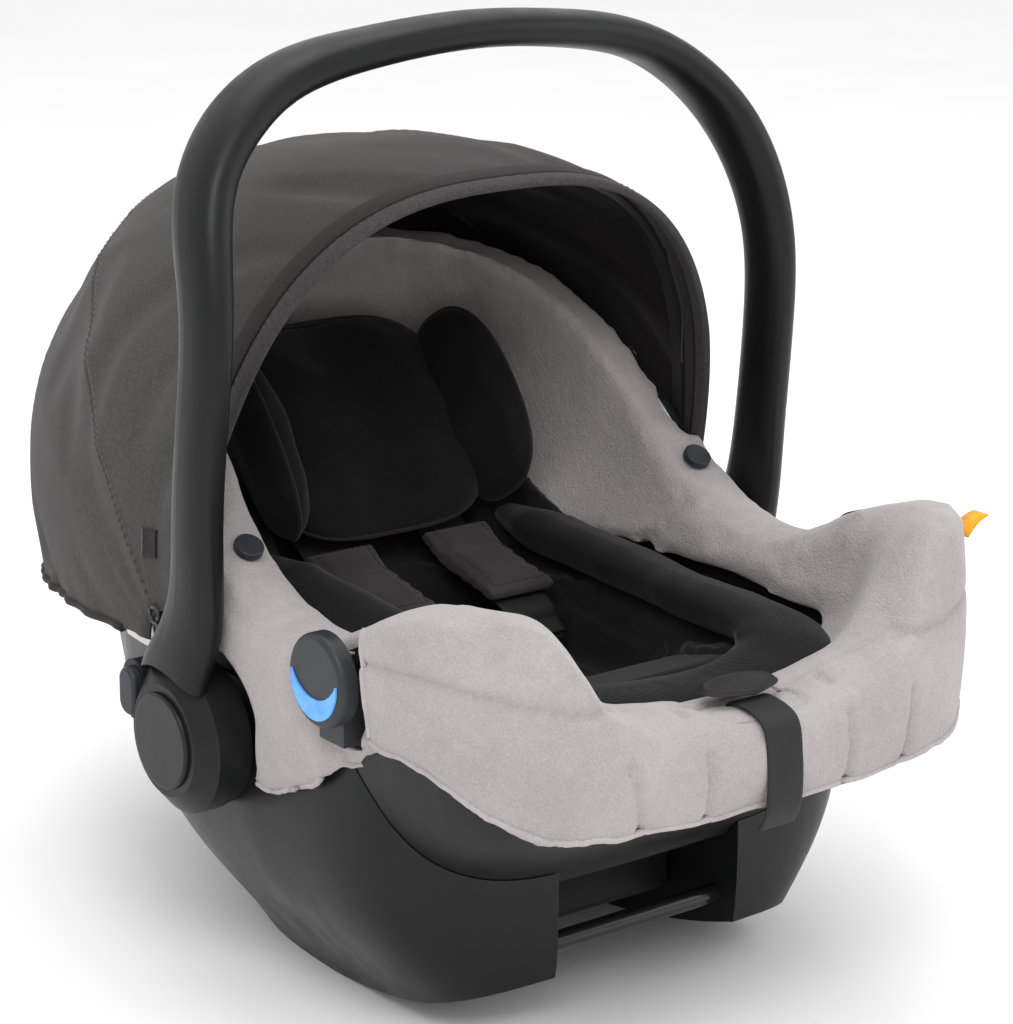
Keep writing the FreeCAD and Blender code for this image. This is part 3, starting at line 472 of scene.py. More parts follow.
def on_surface(piece, points, step=2 * MM, closed=False, tree=None):
    """The points of a smooth path, each moved to the nearest place on the piece, with the normal there."""
    tree = tree or tree_of(piece)
    found = [tree.find_nearest(p)[:2] for p in smooth_path(points, step, closed)]
    return [(place, normal) for place, normal in found if place is not None]


def press_in(piece, spots, depth, width):
    """Presses a groove of a given depth along a line of surface points."""
    points, push = coordinates(piece.data), normals(piece.data)
    line = np.array([tuple(place) for place, _ in spots])
    low, high = line.min(0) - 3 * width, line.max(0) + 3 * width
    near = np.where(((points > low) & (points < high)).all(1))[0]
    for start in range(0, len(near), 2000):
        some = near[start:start + 2000]
        gap = np.linalg.norm(points[some][:, None] - line[None], axis=2).min(1)
        points[some] -= push[some] * (depth * np.exp(-(gap / width) ** 2))[:, None]
    set_coordinates(piece.data, points)


def tube(name, spots, radius, material, closed=False, sides=8):
    """A round cord that lies on a line of surface points."""
    points, count = [], len(spots)
    for i, (place, normal) in enumerate(spots):
        before = spots[(i - 1) % count if closed else max(i - 1, 0)][0]
        after = spots[(i + 1) % count if closed else min(i + 1, count - 1)][0]
        along = (after - before).normalized()
        up = (normal - along * normal.dot(along)).normalized()
        side = along.cross(up)
        for k in range(sides):
            angle = 2 * math.pi * k / sides
            points.append(place + up * (radius * math.cos(angle)) + side * (radius * math.sin(angle)))
    faces = ring_faces(count, sides, closed, flip=True, ends=not closed)
    return new_object(name, points, faces, material)


STITCH_RINGS = ((-0.5, 0.3), (-0.25, 1.0), (0.25, 1.0), (0.5, 0.3))


def stitches(name, lines, material="thread", length=3.0 * MM, gap=1.6 * MM, radius=0.35 * MM, aside=0.0):
    """Rows of short raised threads along lines of surface points. Each one thins towards its two ends."""
    points, faces, sides = [], [], 5
    thread_faces = ring_faces(len(STITCH_RINGS), sides)
    for spots in lines:
        travelled, due = 0.0, 0.0
        for (here, normal), (there, _) in zip(spots, spots[1:]):
            step = (there - here).length
            travelled += step
            if travelled < due or step < 1e-6:
                continue
            due = travelled + length + gap
            along = (there - here).normalized()
            side = along.cross(normal).normalized()
            middle = here + side * aside + normal * radius * 0.4
            base = len(points)
            faces += [tuple(base + corner for corner in face) for face in thread_faces]
            for share, size in STITCH_RINGS:
                for k in range(sides):
                    angle = 2 * math.pi * k / sides
                    offset = side * math.cos(angle) + normal * math.sin(angle)
                    points.append(middle + along * (length * share) + offset * radius * size)
    return new_object(name, points, faces, material)


def mirror_points(points):
    return [(-x, y, z) for x, y, z in points]


# ---------------------------------------------------------------- places

HANDLE_PIVOT = Vector(JOINTS["handle_swing"]["pos_m"])
CANOPY_PIVOT = Vector(JOINTS["canopy_middle_fold"]["pos_m"])


def spot(x, y, z):
    """A place in millimetres: x across, y from the handle's pivots towards the head end, z from the floor."""
    return Vector((x * MM, HANDLE_PIVOT.y + y * MM, z * MM))


def spots(points):
    return [spot(*p) for p in points]


def both(points):
    """The same line on the near side and, mirrored, on the far side."""
    return [spots(points), spots(mirror_points(points))]


# ---------------------------------------------------------------- seat cover

EAR_SEAM = [(-196, -172, 250), (-200, -215, 253), (-196, -258, 249), (-176, -284, 245), (-140, -289, 239),
            (-108, -270, 231)]
RIDGE_SEAM = [(-108, -266, 231), (-104, -278, 207), (-99, -288, 182), (-96, -290, 158)]
PANEL_SEAM = [(-54, -258, 216), (-53, -278, 205), (-52, -288, 184), (-52, -290, 157)]
LIP_SEAM = [(-108, -262, 232), (-80, -252, 222), (-52, -250, 216), (-30, -252, 214)]
EAR_EDGE = [(-199, -171, 272), (-201, -170, 240), (-199, -169, 205)]
EAR_HEM = [(-197, -169, 201), (-195, -215, 193), (-193, -262, 168), (-176, -287, 162), (-140, -292, 158),
           (-96, -292, 157), (-52, -292, 157), (0, -292, 157)]
SIDE_HEM = [(-192, -122, 160), (-192, -110, 151), (-192, -75, 137), (-192, -52, 132)]


DENT_HEIGHT, CREASE_HEIGHT, FOLD_DEPTH = 2.0 * MM, 0.9 * MM, 4.6 * MM


def long_noise(p, across, upright, shift=0.0):
    """Smooth noise, stretched by its own rate across and its own rate upright, both per metre."""
    return noise.noise(Vector((p.x * across + shift, p.y * across, p.z * upright)))


def pleats(points, push):
    """Slow dents, and finer creases and folds that run down from the rim."""
    shift = np.zeros(len(points))
    for i, point in enumerate(points):
        p = Vector(point)
        dent = long_noise(p, 14.0, 14.0)
        crease = long_noise(p, 38.0, 11.0)
        fold = max(0.0, long_noise(p, 24.0, 7.0, 5.0)) ** 2
        shift[i] = DENT_HEIGHT * dent + CREASE_HEIGHT * crease - FOLD_DEPTH * fold
    return points + push * shift[:, None]


SKIN_GAP = {"foot": 3.2 * MM, "head": 4.6 * MM}
SKIN_PUSH = 5.2 * MM
SKIN_UNDER = 1.0 * MM


def tucked_skin(cover):
    """The skin of the cover on the shell, below its hem. Gives its points, tucked into the shell's wall."""
    shell = tree_of(NODES["outer_shell"])
    tucked = {}
    for i, point in enumerate(coordinates(cover.data)):
        limit = SKIN_GAP["head" if point[1] > HANDLE_PIVOT.y else "foot"]
        place, normal, _, gap = shell.find_nearest(Vector(point), limit)
        if place is not None and (Vector(point) - place).dot(normal) > -SKIN_UNDER:
            tucked[i] = place - normal * (SKIN_PUSH - gap)
    return tucked


EAR_FILL = (134, -254, 252)
EAR_SPREAD = (38, 40, 40)
EAR_RISE = 24


def fill_ears(cover):
    """The ears are stuffed: each one's inner shoulder beside the dip stands up."""
    points = coordinates(cover.data)
    for sign in (1, -1):
        middle = np.array(spot(sign * EAR_FILL[0], EAR_FILL[1], EAR_FILL[2]))
        away = np.linalg.norm((points - middle) / (np.array(EAR_SPREAD) * MM), axis=1)
        points[:, 2] += EAR_RISE * MM * np.exp(-away ** 2)
    set_coordinates(cover.data, points)


WINDOW_HALF = 39
WINDOW_FRONT, WINDOW_BACK = -283, -211
WINDOW_DEPTH = 3
WINDOW_CLOTH = 1.5 * MM
WINDOW_LOOK_FROM, WINDOW_EDGE = 300, 205


def close_window(cover):
    """The cover's cloth round the strap's way out: a panel let in just under the opening's edges.

    Where no cloth lies under its side, the panel takes the edge's usual height."""
    tree = tree_of(cover)
    points, across, down = [], 16, 18
    for i in range(down + 1):
        y = WINDOW_FRONT + (WINDOW_BACK - WINDOW_FRONT) * i / down
        heights = []
        for x in (-WINDOW_HALF, WINDOW_HALF):
            hit = tree.ray_cast(spot(x, y, WINDOW_LOOK_FROM), Vector((0, 0, -1)))[0]
            heights.append(hit.z if hit else WINDOW_EDGE * MM)
        for k in range(across + 1):
            share = k / across
            place = spot(WINDOW_HALF * (2 * share - 1), y, -WINDOW_DEPTH)
            place.z += heights[0] + (heights[1] - heights[0]) * share
            points.append(place)
    window = new_object("seat_cover_window", points, grid_faces(down, across), "cover")
    thick = window.modifiers.new("thick", "SOLIDIFY")
    thick.thickness = WINDOW_CLOTH
    thick.offset = -1.0
    apply_modifiers(window)
    return window


SEAM_DEPTH, SEAM_WIDTH = 3.2 * MM, 2.8 * MM
HEM_RADIUS = 2.1 * MM
STITCH_ASIDE = 2.6 * MM


def finish_cover(cover, tucked):
    """Stuffs, tucks and creases the cover, then sews its seams, their stitching and its hems."""
    fill_ears(cover)
    points = coordinates(cover.data)
    for i, place in tucked.items():
        points[i] = place
    set_coordinates(cover.data, points)
    subdivide(cover)
    relax(cover, 2)
    set_coordinates(cover.data, pleats(coordinates(cover.data), normals(cover.data)))
    tree = tree_of(cover)
    seams = []
    for line in (EAR_SEAM, RIDGE_SEAM, PANEL_SEAM, LIP_SEAM):
        for path in both(line):
            seams.append(on_surface(cover, path, 1.5 * MM, tree=tree))
    for seam in seams:
        press_in(cover, seam, SEAM_DEPTH, SEAM_WIDTH)
    tree = tree_of(cover)
    rows = []
    for line in (RIDGE_SEAM, PANEL_SEAM):
        for path in both(line):
            rows.append(on_surface(cover, path, 0.8 * MM, tree=tree))
    thread = stitches("seat_cover_stitching", rows, aside=STITCH_ASIDE, radius=0.28 * MM)
    hems = []
    for i, line in enumerate((EAR_HEM, SIDE_HEM, EAR_EDGE)):
        for j, path in enumerate(both(line)):
            path_on = on_surface(cover, path, 3 * MM, tree=tree)
            hems.append(tube(f"seat_cover_hem_{i}_{j}", path_on, HEM_RADIUS, "binding"))
    for piece in [cover, thread, close_window(cover)] + hems:
        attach(piece, "seat")
    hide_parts("seat_cover")


# ---------------------------------------------------------------- inserts, pillow and pads

PILLOW_LEAN = math.radians(40.0)
PILLOW_MIDDLE = spot(0, 126.5, 288.2)
PILLOW_HALF, PILLOW_THICK = (84, 77), 40
PILLOW_HOLLOW, HOLLOW_HALF = 9, 30
WING_HALF, WING_THICK = (38, 66), 34
WING_FLARE = math.radians(17.0)
WING_ROOT = (82, -6, 17)


def pillow_spot(across, up, out):
    """A place on the head pillow, in millimetres across, up its length and out of its face."""
    lean = Matrix.Rotation(-PILLOW_LEAN, 3, "X")
    return PILLOW_MIDDLE + lean @ Vector((across * MM, -out * MM, up * MM))


def cushion(name, half, thick, place, material, square, rings=22, around=72):
    """A stuffed closed cushion: a rounded outline with two crowned faces. Gives it and its outline's points.

    Place turns (wide, high, out) into a place in the scene. A greater square makes fuller corners."""
    half_wide, half_high = half
    levels = [k / rings for k in range(rings)] + [1.0] + [k / rings for k in range(rings - 1, -1, -1)]
    points = []
    for i, level in enumerate(levels):
        side = 1 if i <= rings else -1
        share = math.sin(level * math.pi / 2)
        rise = side * thick / 2 * max(0.0, 1 - share ** 2.6) ** 0.5
        for k in range(around):
            turn = 2 * math.pi * k / around
            c, q = math.cos(turn), math.sin(turn)
            wide = half_wide * share * math.copysign(abs(c) ** (2 / square), c)
            high = half_high * share * math.copysign(abs(q) ** (2 / square), q)
            dent = noise.noise(Vector((wide, high, rise * 2.0)) * 0.035 + PILLOW_MIDDLE * 3.0)
            points.append(place(wide, high, rise * (1 + 0.22 * dent)))
    piece = new_object(name, points, ring_faces(len(levels), around), material)
    weld = piece.modifiers.new("weld", "WELD")
    weld.merge_threshold = 0.02 * MM
    apply_modifiers(piece)
    piece.data.materials.clear()
    piece.data.materials.append(M[material])
    return piece, points[rings * around:(rings + 1) * around]


def edge_piping(name, edge, radius):
    """Piping that follows a cushion's outline."""
    middle = sum(edge, Vector()) / len(edge)
    return tube(name, [(p, (p - middle).normalized()) for p in edge], radius, "piping", closed=True)


def pillow_wing_place(sign):
    """The pillow's side wings stand out of its face and flare towards their front edge."""
    def place(wide, high, out):
        across = WING_ROOT[0] + wide * math.sin(WING_FLARE) - out * math.cos(WING_FLARE)
        forward = WING_ROOT[2] + wide * math.cos(WING_FLARE) + out * math.sin(WING_FLARE)
        return pillow_spot(sign * across, high + WING_ROOT[1], forward)
    return place


def make_pillow():
    """The head pillow: a crowned middle with a soft hollow and two fat wings, all edged with piping."""
    def middle_place(wide, high, out):
        hollow = PILLOW_HOLLOW * math.exp(-(wide / HOLLOW_HALF) ** 2) if out > 0 else 0
        return pillow_spot(wide, high, out - hollow)

    pillow, edge = cushion("head_pillow_middle", PILLOW_HALF, PILLOW_THICK, middle_place, "insert", 3.4)
    pieces, wings = [pillow, edge_piping("head_pillow_piping", edge, 1.3 * MM)], []
    for side, sign in (("left", -1), ("right", 1)):
        place = pillow_wing_place(sign)
        wing, edge = cushion("head_pillow_wing_" + side, WING_HALF, WING_THICK, place, "insert", 2.4)
        wings.append(wing)
        pieces += [wing, edge_piping("head_pillow_piping_" + side, edge, 1.5 * MM)]
    for piece in pieces:
        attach(piece, "seat")
    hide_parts("head_pillow")


HIP_LINE = [(-100, 104, 222), (-105, 50, 216), (-108, -20, 212), (-109, -80, 208), (-109, -130, 208),
            (-104, -165, 207), (-88, -192, 204), (-56, -204, 199), (0, -207, 197)]
BOLSTER_HALF, BOLSTER_HIP_MORE = (25, 11), (13, 5)
BOLSTER_HIP_SHIFT, BOLSTER_HIP_SLOPE = 8, 0.35
BOLSTER_SEAM_START = 6


def make_bolster():
    """The body insert's stuffed edge, along both hips and round the front of the seat.

    It is fuller along the hips, where it also stands further in and slopes down towards the middle."""
    line = spots(HIP_LINE) + spots(mirror_points(HIP_LINE[:-1]))[::-1]
    path = smooth_path(line, 4 * MM)
    points, sides = [], 20
    for i, here in enumerate(path):
        before, after = path[max(i - 1, 0)], path[min(i + 1, len(path) - 1)]
        along = (after - before).normalized()
        side = along.cross(Vector((0, 0, 1))).normalized()
        up = side.cross(along)
        share = i / (len(path) - 1)
        taper = min(1.0, math.sin(math.pi * share) * 5.0) ** 0.5
        lumps = 1 + 0.1 * noise.noise(here * 16.0) + 0.05 * noise.noise(here * 45.0)
        hip = min(1.0, abs(share - 0.5) * 5.0)
        half_wide, half_high = (half + more * hip for half, more in zip(BOLSTER_HALF, BOLSTER_HIP_MORE))
        shift = BOLSTER_HIP_SHIFT * hip
        for k in range(sides):
            angle = 2 * math.pi * k / sides
            wide = half_wide * math.cos(angle) * taper * lumps
            high = half_high * math.sin(angle) * taper * lumps
            drop = BOLSTER_HIP_SLOPE * (wide + half_wide) * hip
            points.append(here + side * (wide + shift) * MM + up * (high - drop + shift) * MM)
    bolster = new_object("body_insert_bolster", points, ring_faces(len(path), sides), "insert")
    seam = []
    for i in range(BOLSTER_SEAM_START, len(path) - BOLSTER_SEAM_START):
        top = points[i * sides + 3 * sides // 8]
        seam.append((top, (top - path[i]).normalized()))
    press_in(bolster, seam, 1.6 * MM, 3.0 * MM)
    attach(bolster, "seat")


INSERT_SEAM = [(-112, -186, 205), (-60, -189, 188), (0, -190, 186), (60, -189, 188), (112, -186, 205)]
INSERT_CHANNEL = [(-72, -160, 190), (-68, -80, 186), (-64, 0, 200), (-62, 60, 214), (-60, 120, 250)]


def finish_insert(insert):
    """Presses the insert's front seam and the long channel on each side of its middle."""
    subdivide(insert)
    tree = tree_of(insert)
    press_in(insert, on_surface(insert, spots(INSERT_SEAM), 2 * MM, tree=tree), 2.0 * MM, 3.0 * MM)
    for path in both(INSERT_CHANNEL):
        press_in(insert, on_surface(insert, path, 2 * MM, tree=tree), 4.0 * MM, 6.0 * MM)
    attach(insert, "seat")
    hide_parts("body_insert")


PAD_SEAM_INSET, PAD_SEAM_ABOVE = 6 * MM, {"foot": 12 * MM, "head": 2 * MM}


def finish_pad(pad, side):
    """Sews a seam round the top face of a harness pad."""
    subdivide(pad)
    low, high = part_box("harness_pad_" + side)
    tree = tree_of(pad)
    left, right = low.x + PAD_SEAM_INSET, high.x - PAD_SEAM_INSET
    foot = (low.y + PAD_SEAM_INSET, low.z + PAD_SEAM_ABOVE["foot"])
    head = (high.y - PAD_SEAM_INSET, high.z + PAD_SEAM_ABOVE["head"])
    corners = [Vector((x, *place)) for x, place in ((left, foot), (right, foot), (right, head), (left, head))]
    ring = []
    for a, b in zip(corners, corners[1:] + corners[:1]):
        ring += [a.lerp(b, k / 6) for k in range(6)]
    seam = on_surface(pad, ring, 1.2 * MM, closed=True, tree=tree)
    press_in(pad, seam, 0.9 * MM, 1.6 * MM)
    thread = stitches(f"harness_pad_stitching_{side}", [seam], "pad", 2.4 * MM, 1.4 * MM, 0.3 * MM)
    for piece in (pad, thread):
        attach(piece, "seat")
    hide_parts("harness_pad_" + side)


# ---------------------------------------------------------------- straps

STRAP_THICK = 1.8


def strap_line(path):
    """Points 3 mm apart, in millimetres, along a strap's path of (y, z)."""
    return smooth_path([(0, y, z) for y, z in path], 3.0)


def path_length(path):
    return line_length(strap_line(path)) * MM


def ribbon(name, path, half, offset):
    """Flat webbing along a side view path in millimetres, with rolled edges and its own UVs in metres."""
    line = strap_line(path)
    across = [-1.0, -0.97, -0.85, -0.4, 0.0, 0.4, 0.85, 0.97, 1.0]
    thick = [0.25, 0.75, 1.0, 1.0, 1.0, 1.0, 1.0, 0.75, 0.25]
    section = [(a, 0.5 + 0.5 * t) for a, t in zip(across, thick)]
    section += [(a, 0.5 - 0.5 * t) for a, t in zip(across[::-1], thick[::-1])]
    points, uvs, run = [], [], 0.0
    for i, here in enumerate(line):
        before, after = line[max(i - 1, 0)], line[min(i + 1, len(line) - 1)]
        along = (after - before).normalized()
        normal = Vector((0, -along.z, along.y))
        run += (here - before).length
        for share, rise in section:
            place = here + normal * (STRAP_THICK * rise)
            points.append(spot(offset + share * half, place.y, place.z))
            uvs.append((share * half * MM, run * MM))
    piece = new_object(name, points, ring_faces(len(line), len(section), ends=True), "webbing")
    layer = piece.data.uv_layers.new(name="UVMap")
    for corner in piece.data.loops:
        layer.data[corner.index].uv = uvs[corner.vertex_index]
    return piece


SHOULDER_PATH = [(-16, 174.5), (-7, 181), (4, 191.8), (60, 204), (112, 232), (146, 266), (208, 266),
                 (214, 256), (180, 204)]
CROTCH_PATH = [(-66, 108), (-66, 156), (-60, 165)]
ADJUSTER_PATH = [(176, 180), (142, 140), (70, 102), (-80, 102), (-165, 134), (-232, 170), (-250, 190),
                 (-256, 208), (-266, 215), (-290, 209), (-296, 186), (-296, 160), (-290, 146)]
STRAPS = (("shoulder_webbing_left", "shoulder_strap_left", SHOULDER_PATH),
          ("shoulder_webbing_right", "shoulder_strap_right", SHOULDER_PATH),
          ("crotch_webbing", "crotch_strap", CROTCH_PATH),
          ("adjuster_webbing", "adjuster_strap", ADJUSTER_PATH))


def make_straps():
    for name, node, path in STRAPS:
        low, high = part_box(node)
        half, middle = (high.x - low.x) / 2 / MM, (high.x + low.x) / 2 / MM
        strap = ribbon(name, path, half, middle)
        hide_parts(node)
        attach(strap, "seat")
        path_length(path)


FLAP_WIDER, FLAP_LONGER, FLAP_THICKER = 1.15, 1.2, 1.2
FLAP_LIP, FLAP_DIP, FLAP_DOME = 1.3 * MM, 1.6 * MM, 2.2 * MM


def make_flap():
    """The oval rubber flap over the harness adjuster, domed, with a lip round it and a dip for a thumb."""
    low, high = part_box("adjuster_flap")
    middle, half = (low + high) / 2, (high - low) / 2

    def place(wide, high, out):
        away = math.hypot(wide, high)
        lip = FLAP_LIP * math.exp(-((away - 0.88) / 0.06) ** 2)
        dip = FLAP_DIP * math.exp(-(wide / 0.35) ** 2) * max(0.0, -high)
        dome = FLAP_DOME * max(0.0, 1 - away ** 2)
        rise = out * half.z * FLAP_THICKER + (dome + lip - dip if out >= 0 else 0)
        return middle + Vector((wide * half.x * FLAP_WIDER, high * half.y * FLAP_LONGER, rise))

    flap, _ = cushion("adjuster_flap_soft", (1.0, 1.0), 2.0, place, "rubber", 2.2)
    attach(flap, "seat")
    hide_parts("adjuster_flap")


# ---------------------------------------------------------------- canopy

ARCH_POWER = 2.7
CANOPY_LOW = 22 * MM
FRONT_ANGLE, MIDDLE_ANGLE, REAR_ANGLE = -12.0, 40.0, 93.0
CLOTH = 1.6 * MM
BACK_BULGE, BULGE_ANGLE, BULGE_SPREAD = 8 * MM, 72, 14
FRONT_SAG, REAR_SAG = 6 * MM, 4 * MM
SWELL, STREAK, FOLD_SINK, GATHER = 2.8 * MM, 3.0 * MM, 9.0 * MM, 1.1 * MM
SEAM_RIDGE, SEAM_GROOVE = 1.6 * MM, 1.2 * MM
MM_PER_DEGREE_AT_SEAM, MM_PER_DEGREE_AT_HEM = 5.0, 4.6


def canopy_heights():
    """Height of the CAD canopy above its pivots, every 4 degrees from upright, along its middle."""
    found = {}
    for node in ("canopy_panel_front", "canopy_panel_rear"):
        for x, y, z in coordinates(NODES[node].data) - np.array(CANOPY_PIVOT):
            if abs(x) < 30 * MM:
                key = round(math.degrees(math.atan2(y, z)) / 4)
                found[key] = max(found.get(key, 0.0), math.hypot(y, z))
    angles = sorted(found)
    return [4 * a for a in angles], [found[a] for a in angles]


HEIGHT_ANGLES, HEIGHTS = canopy_heights()
CANOPY_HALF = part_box("canopy_panel_front")[1].x


def canopy_height(degrees):
    """Smoothed height at an angle. The back of the cloth stands a little proud."""
    around = [np.interp(degrees + k, HEIGHT_ANGLES, HEIGHTS) for k in (-6, -3, 0, 3, 6)]
    bulge = BACK_BULGE * math.exp(-((degrees - BULGE_ANGLE) / BULGE_SPREAD) ** 2)
    return float(np.mean(around)) + bulge


def canopy_point(degrees, share, lift=0.0, forward=0.0):
    """A place on the canopy: degrees back from upright, share from the near pivot to the far one."""
    height, half = canopy_height(degrees), CANOPY_HALF
    start = math.asin((CANOPY_LOW / height) ** (ARCH_POWER / 2))
    angle = start + (math.pi - 2 * start) * share
    cosine, sine = math.cos(angle), math.sin(angle)
    x = -half * math.copysign(abs(cosine) ** (2 / ARCH_POWER), cosine)
    r = height * abs(sine) ** (2 / ARCH_POWER)
    nx = -math.copysign(abs(cosine) ** (2 - 2 / ARCH_POWER), cosine) / half
    nr = abs(sine) ** (2 - 2 / ARCH_POWER) / height
    size = math.hypot(nx, nr)
    x, r = x + lift * nx / size, r + lift * nr / size
    lean = math.radians(degrees)
    place = Vector((x, r * math.sin(lean), r * math.cos(lean)))
    place += Vector((0, -math.cos(lean), math.sin(lean))) * forward
    return CANOPY_PIVOT + place


CANOPY_TOP = {angle: canopy_point(angle, 0.5) for angle in (FRONT_ANGLE, MIDDLE_ANGLE, REAR_ANGLE)}


def canopy_lift(degrees, share):
    """How far the cloth stands out of its smooth surface.

    It sags between the bows, hangs in slow folds, and is gathered at its middle seam and its hem."""
    crown = math.sin(math.pi * share) ** 0.5
    if degrees <= MIDDLE_ANGLE:
        along = (degrees - FRONT_ANGLE) / (MIDDLE_ANGLE - FRONT_ANGLE)
        lift = -FRONT_SAG * math.sin(math.pi * along) ** 2 * crown
    else:
        along = (degrees - MIDDLE_ANGLE) / (REAR_ANGLE - MIDDLE_ANGLE)
        lift = -REAR_SAG * math.sin(math.pi * min(1.0, along * 2.2)) ** 2 * crown
    to_seam = abs(degrees - MIDDLE_ANGLE) * MM_PER_DEGREE_AT_SEAM
    to_hem = abs(degrees - REAR_ANGLE) * MM_PER_DEGREE_AT_HEM
    place = canopy_point(degrees, share)
    slow = noise.noise(place * 9.0)
    streak = noise.noise(Vector((share * 36.0, degrees * 0.02, 1.0)))
    gather = math.sin(share * 210.0 + 4.0 * noise.noise(Vector((share * 14.0, 0, 0))))
    folds = noise.noise(Vector((share * 17.0 + degrees * 0.055, degrees * 0.035, 4.0)))
    lift += SWELL * slow * crown
    lift += STREAK * streak * math.exp(-to_seam / 70.0) * crown
    lift -= FOLD_SINK * max(0.0, folds - 0.05) * crown
    lift += GATHER * gather * math.exp(-to_hem / 20.0)
    lift += SEAM_RIDGE * math.exp(-(to_seam / 5.0) ** 2) - SEAM_GROOVE * math.exp(-(to_seam / 1.8) ** 2)
    return lift


def canopy_panel(name, first, last, rows, columns=150):
    """Cloth from one angle to another, with the lining on its inner face."""
    points = []
    for i in range(rows + 1):
        degrees = first + (last - first) * i / rows
        for k in range(columns + 1):
            share = k / columns
            points.append(canopy_point(degrees, share, canopy_lift(degrees, share)))
    piece = new_object(name, points, grid_faces(rows, columns), "canopy")
    piece.data.materials.append(M["lining"])
    thick = piece.modifiers.new("thick", "SOLIDIFY")
    thick.thickness = CLOTH
    thick.offset = -1.0
    thick.material_offset = 1
    thick.material_offset_rim = 0
    apply_modifiers(piece)
    return piece


def canopy_band(name, section, material, steps=120):
    """Sweeps a section (forward, out) in millimetres along the front arch, narrower at its two ends."""
    points = []
    for i in range(steps + 1):
        share = i / steps
        width = 0.72 + 0.28 * min(1.0, math.sin(math.pi * share) * 2.2)
        for forward, out in section:
            points.append(canopy_point(FRONT_ANGLE, share, out * MM, forward * MM * width))
    return new_object(name, points, ring_faces(steps + 1, len(section), flip=True, ends=True), material)


def rounded_section(low, high, bottom, top, corner=1.2):
    """A rounded rectangle from low to high forward, and from bottom to top outward."""
    section = []
    for cx, cy, turn in ((high - corner, top - corner, 0), (low + corner, top - corner, 90),
                         (low + corner, bottom + corner, 180), (high - corner, bottom + corner, 270)):
        for k in range(4):
            angle = math.radians(turn + 30 * k)
            section.append((cx + corner * math.cos(angle), cy + corner * math.sin(angle)))
    return section


def canopy_row(degrees, lift=None, forward=0.0, steps=420):
    """A line over the canopy, nearly from side to side, with the way out of it at each point.

    It lies on the cloth, or at its own lift over the smooth surface."""
    line = []
    for i in range(4, steps - 3):
        share = i / steps
        height = canopy_lift(degrees, share) if lift is None else lift
        place = canopy_point(degrees, share, height, forward)
        outer = canopy_point(degrees, share, height + 5 * MM, forward)
        line.append((place, (outer - place).normalized()))
    return line


def seam_stitches(name, degrees):
    return stitches(name, [canopy_row(degrees)], "canopy_binding", 2.6 * MM, 1.5 * MM, 0.2 * MM)


def arch_length(degrees, steps=200):
    return line_length([canopy_point(degrees, i / steps) for i in range(steps + 1)])


def panel_depth(first, last, steps=40, share=0.5):
    return line_length([canopy_point(first + (last - first) * i / steps, share) for i in range(steps + 1)])


def pattern_area(first, last, steps=160):
    """Flat area of a panel as it is cut: a gore that narrows towards both pivots, with no sag or folds."""
    middle, total = (first + last) / 2, 0.0
    for i in range(steps):
        share = (i + 0.5) / steps
        wide = (canopy_point(middle, (i + 1) / steps) - canopy_point(middle, i / steps)).length
        total += wide * panel_depth(first, last, share=share)
    return total


SEAM_ASIDE = 0.9
RIM_STITCH_LIFT, RIM_STITCH_FORWARD = 2.9 * MM, 13.0 * MM


def make_canopy():
    """The two cloth panels, their seams, hem and rim. Gives back the front panel."""
    front = canopy_panel("canopy_front_cloth", FRONT_ANGLE, MIDDLE_ANGLE, 44)
    rear = canopy_panel("canopy_rear_cloth", MIDDLE_ANGLE, REAR_ANGLE, 48)
    seam_front = seam_stitches("canopy_stitching_front", MIDDLE_ANGLE - SEAM_ASIDE)
    seam_rear = seam_stitches("canopy_stitching_rear", MIDDLE_ANGLE + SEAM_ASIDE)
    hem = tube("canopy_hem", canopy_row(REAR_ANGLE, steps=160), 2.6 * MM, "canopy_dark")
    for piece in (front, seam_front):
        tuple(CANOPY_TOP[MIDDLE_ANGLE])
        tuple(CANOPY_TOP[FRONT_ANGLE])
        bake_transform(piece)
    for piece in (rear, seam_rear, hem):
        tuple(CANOPY_TOP[REAR_ANGLE])
        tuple(CANOPY_TOP[MIDDLE_ANGLE])
        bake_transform(piece)
    inner = canopy_band("canopy_rim_inner_band", rounded_section(-4, 10.2, -1.4, 2.6), "canopy_dark")
    outer = canopy_band("canopy_rim_binding", rounded_section(11.2, 22.5, -2.4, 3.0, 2.0), "canopy_binding")
    core = canopy_band("canopy_rim_groove", rounded_section(8, 14, -1.6, 1.2, 0.6), "lining")
    row = canopy_row(FRONT_ANGLE, RIM_STITCH_LIFT, RIM_STITCH_FORWARD)
    thread = stitches("canopy_rim_stitching", [row], "canopy_binding", 3 * MM, 1.5 * MM, 0.3 * MM)
    for piece in (inner, outer, core, thread):
        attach(piece, "canopy_front")
    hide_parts("canopy_panel_front")
    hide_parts("canopy_panel_rear")
    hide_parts("canopy_binding")
    arch = arch_length(MIDDLE_ANGLE)
    for piece, first, last in ((front, FRONT_ANGLE, MIDDLE_ANGLE), (rear, MIDDLE_ANGLE, REAR_ANGLE)):
        depth, area = panel_depth(first, last), pattern_area(first, last)
    return front


# ---------------------------------------------------------------- small trim

